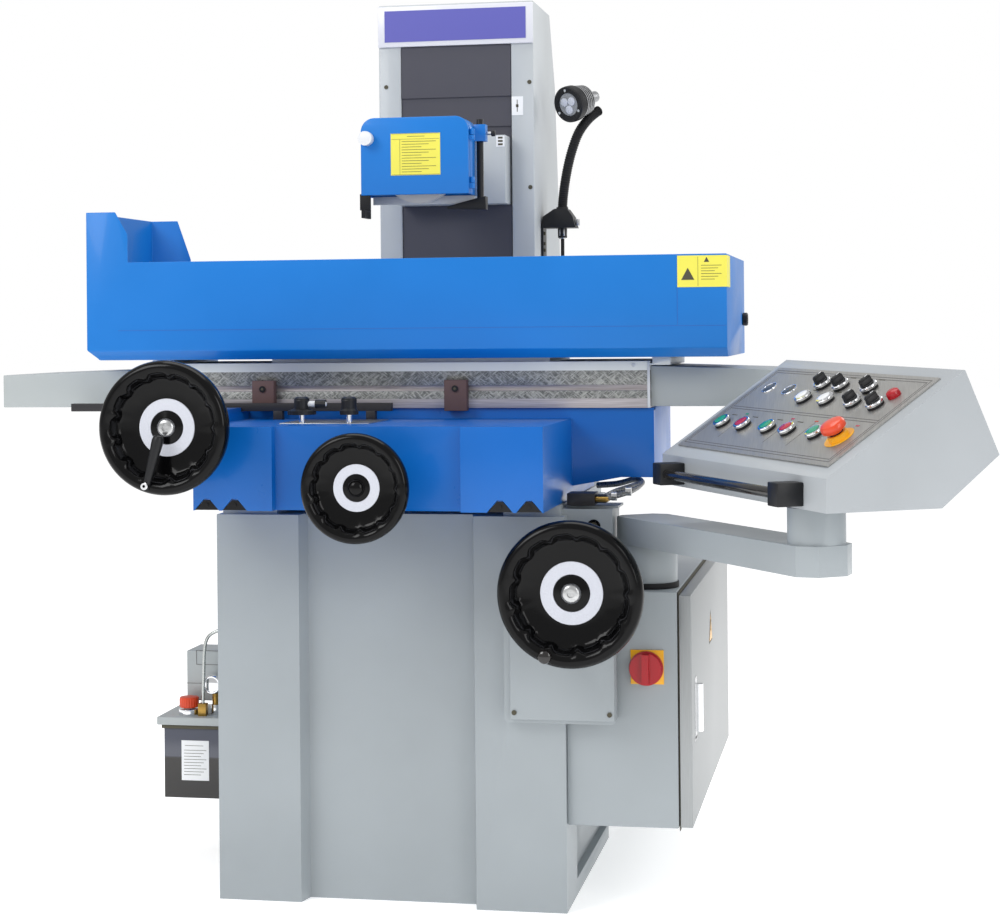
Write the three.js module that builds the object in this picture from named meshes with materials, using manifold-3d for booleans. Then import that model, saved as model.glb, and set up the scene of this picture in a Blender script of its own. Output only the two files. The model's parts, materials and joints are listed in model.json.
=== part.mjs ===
// Surface grinder of the 250 x 500 mm class: cast base with double V ways, cross saddle, hydraulic table
// inside a splash guard, rising wheel head on a column, and a control pendant on a swing arm.
// Millimetres. X runs along the table, Y from the operator towards the column, Z up.
// The model is drawn from the middle of the base's front face on the floor, then moved at the end so that
// the origin is the middle of the whole machine's footprint.
import * as THREE from "three";
import { mergeVertices } from "three/addons/utils/BufferGeometryUtils.js";
import Module from "manifold-3d";

const wasm = await Module();
wasm.setup();

// ---------------------------------------------------------------- driving dimensions
const GAP = 0.3; // between pieces that touch
const SHAFT = 12; // radius of the handwheel shafts
const RUNNING = 0.5; // radial room round a turning shaft

const BASE = { half: 322, depth: 570, rearHalf: 230, rear: 1090, top: 705, recess: 36 };
const RECESS = { left: -167, right: 158, chamfer: 8 };
const WAY = {
  middle: 262, pitch: 51, front: 12, back: 566, bed: 724, crest: 745, crestHalf: 4,
  slope: 0.95,
};
const GEAR_PAD = { left: 217, right: 415, bottom: 343, top: 648, front: -30, corner: 46 };
const ELEVATING = { x: 356, z: 587.5, hub: -140, radius: 126.5 };

const COLUMN = { middle: -13, half: 169, front: 720, top: 1739, roof: 14, wayDepth: 20, wayHalf: 120.5 };
const COLUMN_BACK = { top: 945, shoulder: 1017, shoulderHeight: 1584, middle: 1043, middleHeight: 1421 };
const COLUMN_FOOT = { back: 1080, height: 1150 };
const CAVITY = { half: 100, back: 945, bottom: 740, top: 1660 };
const COVER = { half: 119.5, thick: 2.5 };
const ELEVATING_SCREW = { x: 69, y: 770, radius: 10, bottom: 745, top: 1640 };

const SADDLE = { half: 312, front: -163, padDepth: 22, padInner: 168, top: 873, bottom: 726, back: 470 };
const WING = {
  half: 466, front: 172, top: 892.3, bottom: 764, rootHalf: 316, rootBottom: 748,
  flareHalf: 404,
};
const SCREW_TUNNEL = { half: 45, top: 800, front: -100 };
const CROSS = { x: 0, z: 772, hub: -225, radius: 94.5, screwEnd: 430, nutFront: 250, nutBack: 290 };
const LONGITUDINAL = {
  x: -331, z: 876, hub: -243, radius: 116, pinion: 13.9, pinionFront: 176,
  pinionBack: 196,
};
const RACK = { front: 178, back: 194, bottom: 890.4, groove: 888 };

const TABLE = { half: 460, front: 165, back: 465, bottom: 892.6, top: 979, stage: 999.7 };
const TABLE_SLOT = { bottom: 925, top: 935, depth: 12 };
const CHUCK = { half: 250, front: 190, back: 440, height: 80 };
const TRAY = {
  half: 608, front: 95, back: 560, bottom: 987, bevel: 17, top: 1173, rearTop: 1050,
  sheet: 3,
};
const TALL_END = { top: 1269, back: 460, flange: 58, slope: 25, slopeDrop: 43, rearSlope: 28, rearDrop: 80 };
const TABLE_COVER = { length: 353, front: 175, back: 455, bottom: 895, tall: 970, low: 958, sheet: 4 };
const DOG = {
  width: 43, front: 145, top: 946, leftX: -297, leftBottom: 898, rightX: 76,
  rightBottom: 888,
};
const FOOT = { middle: 480, half: 17, bottom: 971, inset: 12 };

const HEAD = { half: 116, front: 665, bottom: 1305, top: 1449, back: 810, carriageHalf: 97 };
const SPINDLE = { x: -15, z: 1368, radius: 16, quill: 55, quillFront: 408.3, nose: 335, back: 850 };
const WHEEL = { radius: 78, front: 355, thick: 20, flange: 38, flangeThick: 11.5 };
const MOTOR = { radius: 75, length: 128, bore: 862 };
const GUARD = {
  left: -124, right: 92, bottom: 1305, top: 1457, corner: 27, wall: 4, front: 320,
  split: 340, back: 408,
};
const NOZZLE = { x: 101, y: 395, rod: 7, top: 1456, bottom: 1286, tip: 36, floor: 1277 };

const CABINET = { left: 322.3, right: 521, front: 12, back: 862, bottom: 155, top: 573, sheet: 4 };
const DOOR = { inner: 524, outer: 546, bottom: 157, top: 567, sheet: 3 };
const MAIN_SWITCH = { x: 466, z: 438, radius: 28, front: -14 };

const ARM = {
  x: 463, y: 90, endX: 779, endY: -367, half: 52, bottom: 652, top: 700,
  post: 52, upperPost: 46, squareEnd: 43, tip: 46.6, corner: 20, bevel: 26,
};
const CONSOLE = {
  x: 798.6, y: -520, z: 760, turn: -57.8, rise: 0.985, length: 552.7, sheet: 3,
  cableHole: 30,
};
const CONSOLE_SIDE = { lip: 52, crestY: 245.6, crestZ: 212, rearY: 308.6, rearZ: 79, floorY: 204.5 };
const CONSOLE_HANDLE = {
  left: -482, right: -82, halfBlock: 16, front: -46, barFront: -40, barBack: -28,
};
const PANEL = { left: -533, right: -31, low: 26, high: 265, thick: 3, margin: 10 };
const BUTTON = { cap: 11.2, bezel: 14.5, hole: 11.7, bezelTop: 12, capTop: 14, capBottom: -5 };

const LAMP = {
  x: 200, y: 820, top: 1298, bottom: 1257, glandBottom: 1236, neck: 10.5, bendX: 221,
  bendZ: 1420,
};
const LUBRICATOR = { left: -515, right: -335, front: 250, back: 392, bottom: 125, top: 267.7 };

const COLOUR = {
  grey: 0xa9b1b5,
  paleGrey: 0xb9c0c5,
  blue: 0x2f7fd0,
  deepBlue: 0x2068c8,
  steel: 0x9a9c9e,
  darkSteel: 0x4a4b50,
  black: 0x15161a,
  bronze: 0x5a4545,
  red: 0x9a2038,
  brightRed: 0xc01025,
  orange: 0xe8402f,
  green: 0x1f8a6a,
  white: 0xe4e6e8,
};

// ---------------------------------------------------------------- modelling helpers
const machine = new THREE.Group();

function matte(colour, roughness = 0.5, metalness = 0) {
  return new THREE.MeshStandardMaterial({ color: colour, roughness, metalness });
}

// A closed geometry as a manifold solid, faces outwards.
function solid(shape) {
  if (shape instanceof wasm.Manifold) return shape;
  shape.deleteAttribute("normal");
  shape.deleteAttribute("uv");
  const merged = mergeVertices(shape, 1e-3);
  const corners = merged.index.array;
  const faces = [];
  for (let i = 0; i < corners.length; i += 3) {
    const [a, b, c] = corners.slice(i, i + 3);
    if (a !== b && b !== c && c !== a) faces.push(a, b, c);
  }
  const build = (list) =>
    new wasm.Manifold(
      new wasm.Mesh({
        numProp: 3,
        vertProperties: merged.attributes.position.array,
        triVerts: new Uint32Array(list),
      }),
    );
  const made = build(faces);
  return made.volume() < 0 ? build(faces.reverse()) : made;
}

const join = (first, ...others) => others.reduce((body, piece) => body.add(solid(piece)), solid(first));
const cut = (first, ...tools) => tools.reduce((body, tool) => body.subtract(solid(tool)), solid(first));

function mesh(name, shape, material, parent = machine) {
  const { vertProperties, triVerts } = solid(shape).getMesh();
  const geometry = new THREE.BufferGeometry();
  geometry.setAttribute("position", new THREE.BufferAttribute(new Float32Array(vertProperties), 3));
  geometry.setIndex(new THREE.BufferAttribute(new Uint32Array(triVerts), 1));
  geometry.computeVertexNormals();
  const piece = new THREE.Mesh(geometry, material);
  piece.name = name;
  parent.add(piece);
  return piece;
}

function box(x0, x1, y0, y1, z0, z1) {
  const geometry = new THREE.BoxGeometry(x1 - x0, y1 - y0, z1 - z0);
  return geometry.translate((x0 + x1) / 2, (y0 + y1) / 2, (z0 + z1) / 2);
}

// Axes of an outline drawn across X, Y or Z: first and second drawing directions, then the depth.
const ACROSS = {
  x: [new THREE.Vector3(0, 1, 0), new THREE.Vector3(0, 0, 1), new THREE.Vector3(1, 0, 0)],
  y: [new THREE.Vector3(1, 0, 0), new THREE.Vector3(0, 0, 1), new THREE.Vector3(0, -1, 0)],
  z: [new THREE.Vector3(1, 0, 0), new THREE.Vector3(0, 1, 0), new THREE.Vector3(0, 0, 1)],
};

// An outline pushed along an axis from one place to another.
function prism(axis, outline, from, to, curveSegments = 6) {
  const drawn = outline instanceof THREE.Shape;
  const shape = drawn ? outline : new THREE.Shape(outline.map(([a, b]) => new THREE.Vector2(a, b)));
  const depth = to - from;
  const geometry = new THREE.ExtrudeGeometry(shape, { depth, bevelEnabled: false, curveSegments });
  geometry.applyMatrix4(new THREE.Matrix4().makeBasis(...ACROSS[axis]));
  const start = axis === "y" ? to : from;
  return geometry.translate(...["x", "y", "z"].map((name) => (name === axis ? start : 0)));
}

const ALONG = {
  x: [new THREE.Vector3(0, 1, 0), new THREE.Vector3(1, 0, 0), new THREE.Vector3(0, 0, -1)],
  y: [new THREE.Vector3(1, 0, 0), new THREE.Vector3(0, 1, 0), new THREE.Vector3(0, 0, 1)],
  z: [new THREE.Vector3(1, 0, 0), new THREE.Vector3(0, 0, 1), new THREE.Vector3(0, -1, 0)],
};

// A profile of [radius, place along the axis] turned about an axis through a point.
function turned(axis, [x, y, z], profile, segments = 24) {
  const points = profile.map(([radius, place]) => new THREE.Vector2(radius, place));
  const geometry = new THREE.LatheGeometry(points, segments);
  geometry.applyMatrix4(new THREE.Matrix4().makeBasis(...ALONG[axis]));
  return geometry.translate(x, y, z);
}

function rod(axis, centre, radius, from, to, segments = 24) {
  const profile = [[0, from], [radius, from], [radius, to], [0, to]];
  return turned(axis, centre, profile, segments);
}

function roundedRectangle(left, right, bottom, top, corners) {
  const [lowRight, highRight, highLeft, lowLeft] = corners;
  const shape = new THREE.Shape();
  shape.moveTo(left + lowLeft, bottom);
  shape.lineTo(right - lowRight, bottom);
  if (lowRight) shape.absarc(right - lowRight, bottom + lowRight, lowRight, -Math.PI / 2, 0);
  shape.lineTo(right, top - highRight);
  if (highRight) shape.absarc(right - highRight, top - highRight, highRight, 0, Math.PI / 2);
  shape.lineTo(left + highLeft, top);
  if (highLeft) shape.absarc(left + highLeft, top - highLeft, highLeft, Math.PI / 2, Math.PI);
  shape.lineTo(left, bottom + lowLeft);
  if (lowLeft) shape.absarc(left + lowLeft, bottom + lowLeft, lowLeft, Math.PI, Math.PI * 1.5);
  return shape;
}

// A round bar along a smooth line through the given points.
function bar(points, radius, steps, sides = 10) {
  const path = new THREE.CatmullRomCurve3(points.map((point) => new THREE.Vector3(...point)));
  const section = new THREE.Shape();
  section.absarc(0, 0, radius, 0, 2 * Math.PI);
  const settings = { steps, bevelEnabled: false, extrudePath: path, curveSegments: sides };
  return new THREE.ExtrudeGeometry(section, settings);
}

// ---------------------------------------------------------------- base and ways
const wayCentres = [-1, 1].flatMap((side) =>
  [-0.5, 0.5].map((half) => side * WAY.middle + half * WAY.pitch),
);

// A V rib or, with room added, the groove that rides on it.
function veeAcross(centre, room, low, from, to) {
  const crest = WAY.crest + room * 2.5;
  const footHalf = WAY.crestHalf + room + (WAY.crest - low) * WAY.slope;
  const topHalf = WAY.crestHalf + room;
  const outline = [
    [centre - footHalf, low],
    [centre + footHalf, low],
    [centre + topHalf, crest],
    [centre - topHalf, crest],
  ];
  return prism("y", outline, from, to);
}

function makeBase() {
  const { half, depth, rearHalf, rear, top, recess } = BASE;
  const plan = [
    [-half, 0],
    [RECESS.left, 0],
    [RECESS.left + RECESS.chamfer, recess],
    [RECESS.right - RECESS.chamfer, recess],
    [RECESS.right, 0],
    [half, 0],
    [half, depth],
    [rearHalf, depth],
    [rearHalf, rear],
    [-rearHalf, rear],
    [-rearHalf, depth],
    [-half, depth],
  ];
  const bedHalf = WAY.pitch / 2 + (WAY.crest - WAY.bed) * WAY.slope + WAY.crestHalf + 2;
  const beds = [-1, 1].map((side) =>
    box(side * WAY.middle - bedHalf, side * WAY.middle + bedHalf, WAY.front, WAY.back, top - 1, WAY.bed),
  );
  const ribs = wayCentres.map((centre) => veeAcross(centre, 0, WAY.bed - 0.1, WAY.front, WAY.back));
  const { left, right, bottom, top: padTop, front, corner } = GEAR_PAD;
  const pad = prism("y", roundedRectangle(left, right, bottom, padTop, [8, 20, corner, 8]), front, 20);
  const padBehindCabinet = box(half, GEAR_PAD.right + 1, 0, 21, 0, top);
  const nutBlock = cut(
    box(-30, 30, CROSS.nutFront, CROSS.nutBack, top - 1, 792),
    rod("y", [CROSS.x, 0, CROSS.z], SHAFT + RUNNING, CROSS.nutFront - 1, CROSS.nutBack + 1),
  );
  const valveBlock = box(292, 404, 40, 140, 640, 716);
  const shaftBore = rod("y", [ELEVATING.x, 0, ELEVATING.z], SHAFT + RUNNING, GEAR_PAD.front - 1, 8);
  const sidePocket = box(half - 14, half + 1, 127, depth - 20, 30, CABINET.bottom - 12);
  const casting = join(
    prism("z", plan, 0, top),
    ...beds,
    ...ribs,
    cut(pad, padBehindCabinet),
    nutBlock,
    valveBlock,
  );
  mesh("base_casting", cut(casting, shaftBore, sidePocket), matte(COLOUR.grey, 0.55));
}

// ---------------------------------------------------------------- handwheels
// A deeply dished handwheel whose ring face is at `front`, with its shaft running back to `shaftEnd`.
function wheelShape({ x, z, radius }, front, shaftEnd) {
  const scale = radius / 125;
  const profile = [
    [0, -10],
    [17, -10],
    [18, 0],
    [54, 0],
    [90, -8],
    [100, -28],
    [108, -34],
    [118, -32],
    [125, -20],
    [122, -4],
    [100, 4],
    [34, 14],
    [30, 40],
  ].map(([r, y]) => [r * scale, front + y * scale]);
  const tail = [
    [SHAFT, front + 40 * scale],
    [SHAFT, shaftEnd],
    [0, shaftEnd],
  ];
  return turned("y", [x, 0, z], [...profile, ...tail], 28);
}

// Direction from the hub to the fold-in handle's pivot, and the handle in its own group.
const HANDLE = { turn: -164.7, pivot: 102, tip: 14, depth: -32, thick: 10.5, thin: 6.5, slot: 11 };

function makeLongitudinalWheel() {
  const { x, z, hub, pinion, pinionFront, pinionBack } = LONGITUDINAL;
  const slot = box(-HANDLE.slot, HANDLE.slot, hub - 40, hub - 10, HANDLE.pivot - 24, HANDLE.pivot + 9);
  slot.rotateY(THREE.MathUtils.degToRad(HANDLE.turn)).translate(x, 0, z);
  const teeth = 14;
  const gear = Array.from({ length: teeth * 2 }, (_, i) => {
    const angle = (i * Math.PI) / teeth;
    const reach = i % 2 ? pinion - 2.4 : pinion;
    return [x + reach * Math.cos(angle), z + reach * Math.sin(angle)];
  });
  const wheel = cut(wheelShape(LONGITUDINAL, hub, pinionBack), slot);
  const made = join(wheel, prism("y", gear, pinionFront, pinionBack));
  mesh("longitudinal_handwheel", made, matte(COLOUR.black, 0.25));

  const group = new THREE.Group();
  group.position.set(x, hub + HANDLE.depth, z);
  group.rotation.y = THREE.MathUtils.degToRad(HANDLE.turn);
  machine.add(group);
  const grip = turned("z", [0, 0, 0], [
    [0, HANDLE.tip],
    [HANDLE.thick - 2, HANDLE.tip],
    [HANDLE.thick, HANDLE.tip + 8],
    [HANDLE.thin, HANDLE.pivot - 8],
    [HANDLE.thin, HANDLE.pivot + 6],
    [0, HANDLE.pivot + 6],
  ], 14);
  mesh("folding_crank_handle", grip, matte(COLOUR.black, 0.3), group);
}

function makeElevatingWheel() {
  const { x, z, hub } = ELEVATING;
  mesh("elevating_handwheel", wheelShape(ELEVATING, hub, 0), matte(COLOUR.black, 0.25));
  const plateFront = GEAR_PAD.front - GAP - 8;
  const plate = box(GEAR_PAD.left + 12, GEAR_PAD.right - 0.5, plateFront, GEAR_PAD.front - GAP, 350, 628);
  const boss = rod("y", [x, 0, z], 40, plateFront - 50, plateFront + 1);
  const bore = rod("y", [x, 0, z], SHAFT + RUNNING, plateFront - 60, 0);
  mesh("elevating_gear_cover", cut(join(plate, boss), bore), matte(COLOUR.paleGrey, 0.5));
}

// ---------------------------------------------------------------- column and its covers
// A block centred on the column.
function columnBox(half, y0, y1, z0, z1) {
  return box(COLUMN.middle - half, COLUMN.middle + half, y0, y1, z0, z1);
}

function makeColumn() {
  const { middle, half, front, top, roof, wayDepth, wayHalf } = COLUMN;
  const side = [
    [front, BASE.top + GAP],
    [COLUMN_FOOT.back, BASE.top + GAP],
    [COLUMN_FOOT.back, COLUMN_FOOT.height],
    [COLUMN_BACK.middle, COLUMN_BACK.middleHeight],
    [COLUMN_BACK.shoulder, COLUMN_BACK.shoulderHeight],
    [COLUMN_BACK.top, top],
    [front, top],
  ];
  const channel = columnBox(wayHalf, front - 1, front + wayDepth, BASE.top - 1, top - roof);
  const cavity = columnBox(CAVITY.half, front, CAVITY.back, CAVITY.bottom, CAVITY.top);
  const casting = cut(prism("x", side, middle - half, middle + half), channel, cavity);
  mesh("column_casting", casting, matte(COLOUR.paleGrey, 0.55));
  mesh("name_plate", columnBox(half, front - 6, front - GAP, 1648, 1735), matte(COLOUR.blue, 0.4));
}

function coverPlate(name, layer, bottom, top) {
  const y = COLUMN.front + 1 + layer * (COVER.thick + 1.5);
  mesh(name, columnBox(COVER.half, y, y + COVER.thick, bottom, top), matte(COLOUR.darkSteel, 0.6));
}

function makeWayCovers() {
  coverPlate("upper_way_cover", 0, 1537, 1648);
  coverPlate("middle_way_cover", 1, 1473, 1643);
  coverPlate("head_way_cover", 2, HEAD.top + GAP, 1578);
  coverPlate("lower_way_cover", 1, 1011, HEAD.bottom - GAP);
}

function makeElevatingScrew() {
  const { x, y, radius, bottom, top } = ELEVATING_SCREW;
  mesh("elevating_screw", rod("z", [x, y, 0], radius, bottom, top, 16), matte(COLOUR.steel, 0.3, 1));
}

// ---------------------------------------------------------------- saddle
function makeSaddle() {
  const { half, front, padDepth, padInner, top, bottom, back } = SADDLE;
  const body = box(-half, half, front + padDepth, back, bottom, top);
  const pad = box(padInner, half, front, front + padDepth + 1, bottom, top);
  const otherPad = box(-half, -padInner, front, front + padDepth + 1, bottom, top);
  const wingOutline = [
    [-WING.half, WING.bottom],
    [-WING.flareHalf, WING.bottom],
    [-WING.rootHalf, WING.rootBottom],
    [WING.rootHalf, WING.rootBottom],
    [WING.flareHalf, WING.bottom],
    [WING.half, WING.bottom],
    [WING.half, WING.top],
    [-WING.half, WING.top],
  ];
  const { x, z, pinion } = LONGITUDINAL;
  const gearbox = join(
    box(-394, -half + 1, -150, WING.front + 1, 812, 888),
    box(-394, -half + 1, -150, 120, 887, 896),
  );
  const crossBoss = rod("y", [CROSS.x, 0, CROSS.z], 34, front - 16, front + padDepth + 1);
  const wing = prism("y", wingOutline, WING.front, back);
  const casting = join(body, pad, otherPad, wing, gearbox, crossBoss);
  const grooves = wayCentres.map((centre) => veeAcross(centre, 0.8, bottom - 1, front - 1, back + 1));
  const tunnel = box(
    -SCREW_TUNNEL.half,
    SCREW_TUNNEL.half,
    SCREW_TUNNEL.front,
    back + 1,
    bottom - 1,
    SCREW_TUNNEL.top,
  );
  const screwBore = rod("y", [CROSS.x, 0, CROSS.z], SHAFT + RUNNING, front - 40, SCREW_TUNNEL.front + 1);
  const pinionBore = rod("y", [x, 0, z], SHAFT + RUNNING, -160, LONGITUDINAL.pinionFront + 1);
  const pinionRoom = pinion + 4;
  const pinionPocket = box(
    x - pinionRoom,
    x + pinionRoom,
    WING.front + 2,
    LONGITUDINAL.pinionBack + 4,
    z - pinionRoom,
    WING.top + 1,
  );
  const rackGroove = box(
    -WING.half - 1,
    WING.half + 1,
    RACK.front - 4,
    RACK.back + 4,
    RACK.groove,
    WING.top + 1,
  );
  const saddle = cut(casting, ...grooves, tunnel, screwBore, pinionBore, pinionPocket, rackGroove);
  mesh("saddle_casting", saddle, matte(COLOUR.deepBlue, 0.35));
  mesh("cross_handwheel", wheelShape(CROSS, CROSS.hub, CROSS.screwEnd), matte(COLOUR.black, 0.25));
}

function makeTableLevers() {
  const knob = (x, y, flare) => [
    rod("z", [x, y, 0], 5, SADDLE.top + GAP, 892, 12),
    turned("z", [x, y, 0], [[0, 889], [flare, 889], [flare, 896], [14, 900], [14, 918], [0, 918]], 18),
  ];
  const leverArm = rod("x", [0, -30, 908], 4.5, -150, -117, 10);
  const leverBall = rod("x", [0, -30, 908], 8, -124, -105, 12);
  mesh("reverse_lever", join(...knob(-150, -30, 26), leverArm, leverBall), matte(COLOUR.black, 0.4));
  mesh("throttle_knob", join(...knob(-62, -30, 17)), matte(COLOUR.black, 0.4));
}

// ---------------------------------------------------------------- table and what rides on it
function makeTable() {
  const { half, front, back, bottom, top, stage } = TABLE;
  const body = box(-half, half, front, back, bottom, top);
  const { depth, bottom: slotBottom, top: slotTop } = TABLE_SLOT;
  const slot = box(-half - 1, half + 1, front - 1, front + depth, slotBottom, slotTop);
  const platform = box(-CHUCK.half - 20, CHUCK.half + 20, CHUCK.front, CHUCK.back, top - 1, stage);
  const rack = box(-half + 20, half - 20, RACK.front, RACK.back, RACK.bottom, bottom + 1);
  const reach = FOOT.middle + FOOT.half;
  const link = box(-reach, reach, front + FOOT.inset, back - FOOT.inset, FOOT.bottom, FOOT.bottom + 4);
  const feet = [-1, 1].map((side) =>
    box(
      side * FOOT.middle - FOOT.half,
      side * FOOT.middle + FOOT.half,
      front + FOOT.inset,
      back - FOOT.inset,
      FOOT.bottom,
      TRAY.bottom - GAP,
    ),
  );
  mesh("work_table", cut(join(body, platform, rack, link, ...feet), slot), matte(COLOUR.steel, 0.5, 0.6));
  const chuck = box(-CHUCK.half, CHUCK.half, CHUCK.front, CHUCK.back, stage + GAP, stage + CHUCK.height);
  mesh("magnetic_chuck", chuck, matte(COLOUR.steel, 0.3, 0.9));
}

function makeSplashGuard() {
  const { half, front, back, bottom, bevel, top, sheet } = TRAY;
  const section = (inset) => [
    [front + inset, bottom + bevel],
    [front + bevel + inset, bottom + inset],
    [back - inset, bottom + inset],
    [back - inset, top + inset],
    [front + inset, top + inset],
  ];
  const tray = cut(
    prism("x", section(0), -half, half),
    prism("x", section(sheet), -half + sheet, half - sheet),
  );
  const end = [
    [front, bottom + bevel],
    [front + bevel, bottom],
    [TALL_END.back, bottom],
    [TALL_END.back, TALL_END.top],
    [front, TALL_END.top],
  ];
  const flange = (low, slope, drop) => [
    [-half, low],
    [-half + TALL_END.flange + slope, low],
    [-half + TALL_END.flange + slope, TALL_END.top - drop],
    [-half + TALL_END.flange, TALL_END.top],
    [-half, TALL_END.top],
  ];
  const frontFlange = flange(top - 60, TALL_END.slope, TALL_END.slopeDrop);
  const rearFlange = flange(bottom + 1, TALL_END.rearSlope, TALL_END.rearDrop);
  const tallEnd = join(
    prism("x", end, -half, -half + sheet),
    prism("y", frontFlange, front, front + sheet),
    prism("y", rearFlange, TALL_END.back - sheet, TALL_END.back),
  );
  const corner = [
    [-half - 1, bottom - 1],
    [-half + bevel + 4, bottom - 1],
    [-half - 1, bottom + bevel + 4],
  ];
  const roundChuck = CHUCK.half + 21;
  const window = box(
    -roundChuck,
    roundChuck,
    CHUCK.front - 1,
    CHUCK.back + 1,
    bottom - 1,
    bottom + sheet + 1,
  );
  const rearOpening = box(-half + sheet, half - sheet, back - sheet - 1, back + 1, TRAY.rearTop, top + 1);
  const walls = join(tray, tallEnd);
  const knob = rod("x", [0, 500, 1055], 11, half - 1, half + 9, 12);
  const made = join(cut(walls, prism("y", corner, front - 1, front + 60), window, rearOpening), knob);
  mesh("splash_guard", made, matte(COLOUR.blue, 0.35));
}

// A folded cover over the saddle's end; `side` is -1 on the left and 1 on the right.
function makeTableCover(name, side) {
  const near = side * (TABLE.half + GAP);
  const far = side * (TABLE.half + TABLE_COVER.length);
  const { bottom, tall, low, sheet, front, back } = TABLE_COVER;
  const outline = [[near, bottom], [far, bottom], [far, low], [near, tall]];
  const inner = [
    [near - side, bottom - 1],
    [far - side * sheet, bottom - 1],
    [far - side * sheet, low - sheet],
    [near - side, tall - sheet],
  ];
  const shell = cut(prism("y", outline, front, back), prism("y", inner, front + sheet, back - sheet));
  mesh(name, shell, matte(COLOUR.paleGrey, 0.5));
}

function makeDog(name, left, bottom) {
  const block = box(left, left + DOG.width, DOG.front, TABLE.front - GAP, bottom, DOG.top);
  const tongue = box(
    left + 6,
    left + DOG.width - 6,
    TABLE.front - 1,
    TABLE.front + 9,
    TABLE_SLOT.bottom + 1,
    TABLE_SLOT.top - 1,
  );
  mesh(name, join(block, tongue), matte(COLOUR.bronze, 0.7));
}

// ---------------------------------------------------------------- wheel head
function makeHead() {
  const { half, front, bottom, top, back, carriageHalf } = HEAD;
  const { x, z, quill, quillFront, radius } = SPINDLE;
  const channelFront = COLUMN.front + COLUMN.wayDepth;
  const block = columnBox(half, front, channelFront - 1, bottom, top);
  const carriage = columnBox(carriageHalf, channelFront - 2, back, bottom, top);
  const sleeve = rod("y", [x, 0, z], quill, quillFront, front + 1, 28);
  const motorHousing = rod("y", [x, 0, z], MOTOR.radius, back - 1, back + MOTOR.length, 28);
  const spindleBore = rod("y", [x, 0, z], radius + RUNNING, quillFront - 1, MOTOR.bore);
  const screw = ELEVATING_SCREW;
  const screwBore = rod("z", [screw.x, screw.y, 0], screw.radius + RUNNING, bottom - 1, top + 1);
  const casting = cut(join(block, carriage, sleeve, motorHousing), spindleBore, screwBore);
  mesh("head_casting", casting, matte(COLOUR.grey, 0.5));
}

function makeSpindle() {
  const { x, z, radius, nose, back } = SPINDLE;
  const wheelBack = WHEEL.front + WHEEL.thick;
  const flanges = [WHEEL.front - GAP - WHEEL.flangeThick, wheelBack + GAP].map((from) =>
    rod("y", [x, 0, z], WHEEL.flange, from, from + WHEEL.flangeThick),
  );
  const shaft = rod("y", [x, 0, z], radius, nose, back);
  mesh("spindle", join(shaft, ...flanges), matte(COLOUR.steel, 0.3, 1));
  const bore = rod("y", [x, 0, z], radius + GAP, WHEEL.front - 1, wheelBack + 1);
  const disc = rod("y", [x, 0, z], WHEEL.radius, WHEEL.front, wheelBack, 36);
  mesh("grinding_wheel", cut(disc, bore), matte(COLOUR.white, 0.95));
}

function makeGuard() {
  const { left, right, bottom, top, corner, wall, front, split, back } = GUARD;
  const outer = roundedRectangle(left, right, bottom, top, [0, corner, corner, 0]);
  const innerCorner = corner - wall;
  const inner = roundedRectangle(
    left + wall,
    right - wall,
    bottom - 5,
    top - wall,
    [0, innerCorner, innerCorner, 0],
  );
  const shaftHole = rod("y", [SPINDLE.x, 0, SPINDLE.z], 24, back - 10, back + 1);
  const clamp = box(right - 1, 114, 383, 407, 1412, 1445);
  const clampBore = rod("z", [NOZZLE.x, NOZZLE.y, 0], NOZZLE.rod + RUNNING, 1400, 1460, 16);
  const body = cut(prism("y", outer, split, back), prism("y", inner, split - 1, back - 6), shaftHole);
  mesh("wheel_guard", join(body, cut(clamp, clampBore)), matte(COLOUR.blue, 0.35));

  const lid = cut(prism("y", outer, front, split - GAP), prism("y", inner, front + wall, split));
  mesh("guard_cover", lid, matte(COLOUR.blue, 0.35));
  const lidKnob = rod("y", [left + 13, 0, top - 41], 14, front - 20, front - GAP, 20);
  mesh("guard_cover_knob", lidKnob, matte(COLOUR.white, 0.4));

  const { x, y, rod: pipe, tip, floor } = NOZZLE;
  const fan = [
    [x + 13, floor],
    [tip, floor + 2],
    [tip, floor + 7],
    [x - 6, floor + 22],
    [x + 13, floor + 26],
  ];
  const upright = rod("z", [x, y, 0], pipe, NOZZLE.bottom, NOZZLE.top, 16);
  mesh("coolant_nozzle", join(upright, prism("y", fan, y - 14, y + 10)), matte(COLOUR.black, 0.5));
}

// ---------------------------------------------------------------- electrical cabinet
function makeCabinet() {
  const { left, right, front, back, bottom, top, sheet } = CABINET;
  const shell = cut(
    box(left, right, front, back, bottom, top),
    box(left + sheet, right + 1, front + sheet, back - sheet, bottom + sheet, top - sheet),
  );
  mesh("electrical_cabinet", shell, matte(COLOUR.paleGrey, 0.45));
  const door = cut(
    box(DOOR.inner, DOOR.outer, front, back, DOOR.bottom, DOOR.top),
    box(
      DOOR.inner - 1,
      DOOR.outer - DOOR.sheet,
      front + DOOR.sheet,
      back - DOOR.sheet,
      DOOR.bottom + DOOR.sheet,
      DOOR.top - DOOR.sheet,
    ),
  );
  mesh("cabinet_door", door, matte(COLOUR.paleGrey, 0.3, 0.2));
  const lock = box(DOOR.outer + GAP, DOOR.outer + 13, 78, 93, 315, 400);
  mesh("door_lock_handle", lock, matte(COLOUR.steel, 0.2, 1));
  const { x, z, radius, front: grip } = MAIN_SWITCH;
  const gripHalf = radius - 2;
  const ridge = box(x - 6, x + 6, grip, grip + 11, z - gripHalf, z + gripHalf);
  const knob = join(rod("y", [x, 0, z], radius, grip + 10, front - 3.5), ridge);
  mesh("main_switch_knob", knob, matte(COLOUR.brightRed, 0.3));
}

// ---------------------------------------------------------------- swing arm and control pendant
const armAngle = Math.atan2(ARM.endY - ARM.y, ARM.endX - ARM.x);

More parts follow.
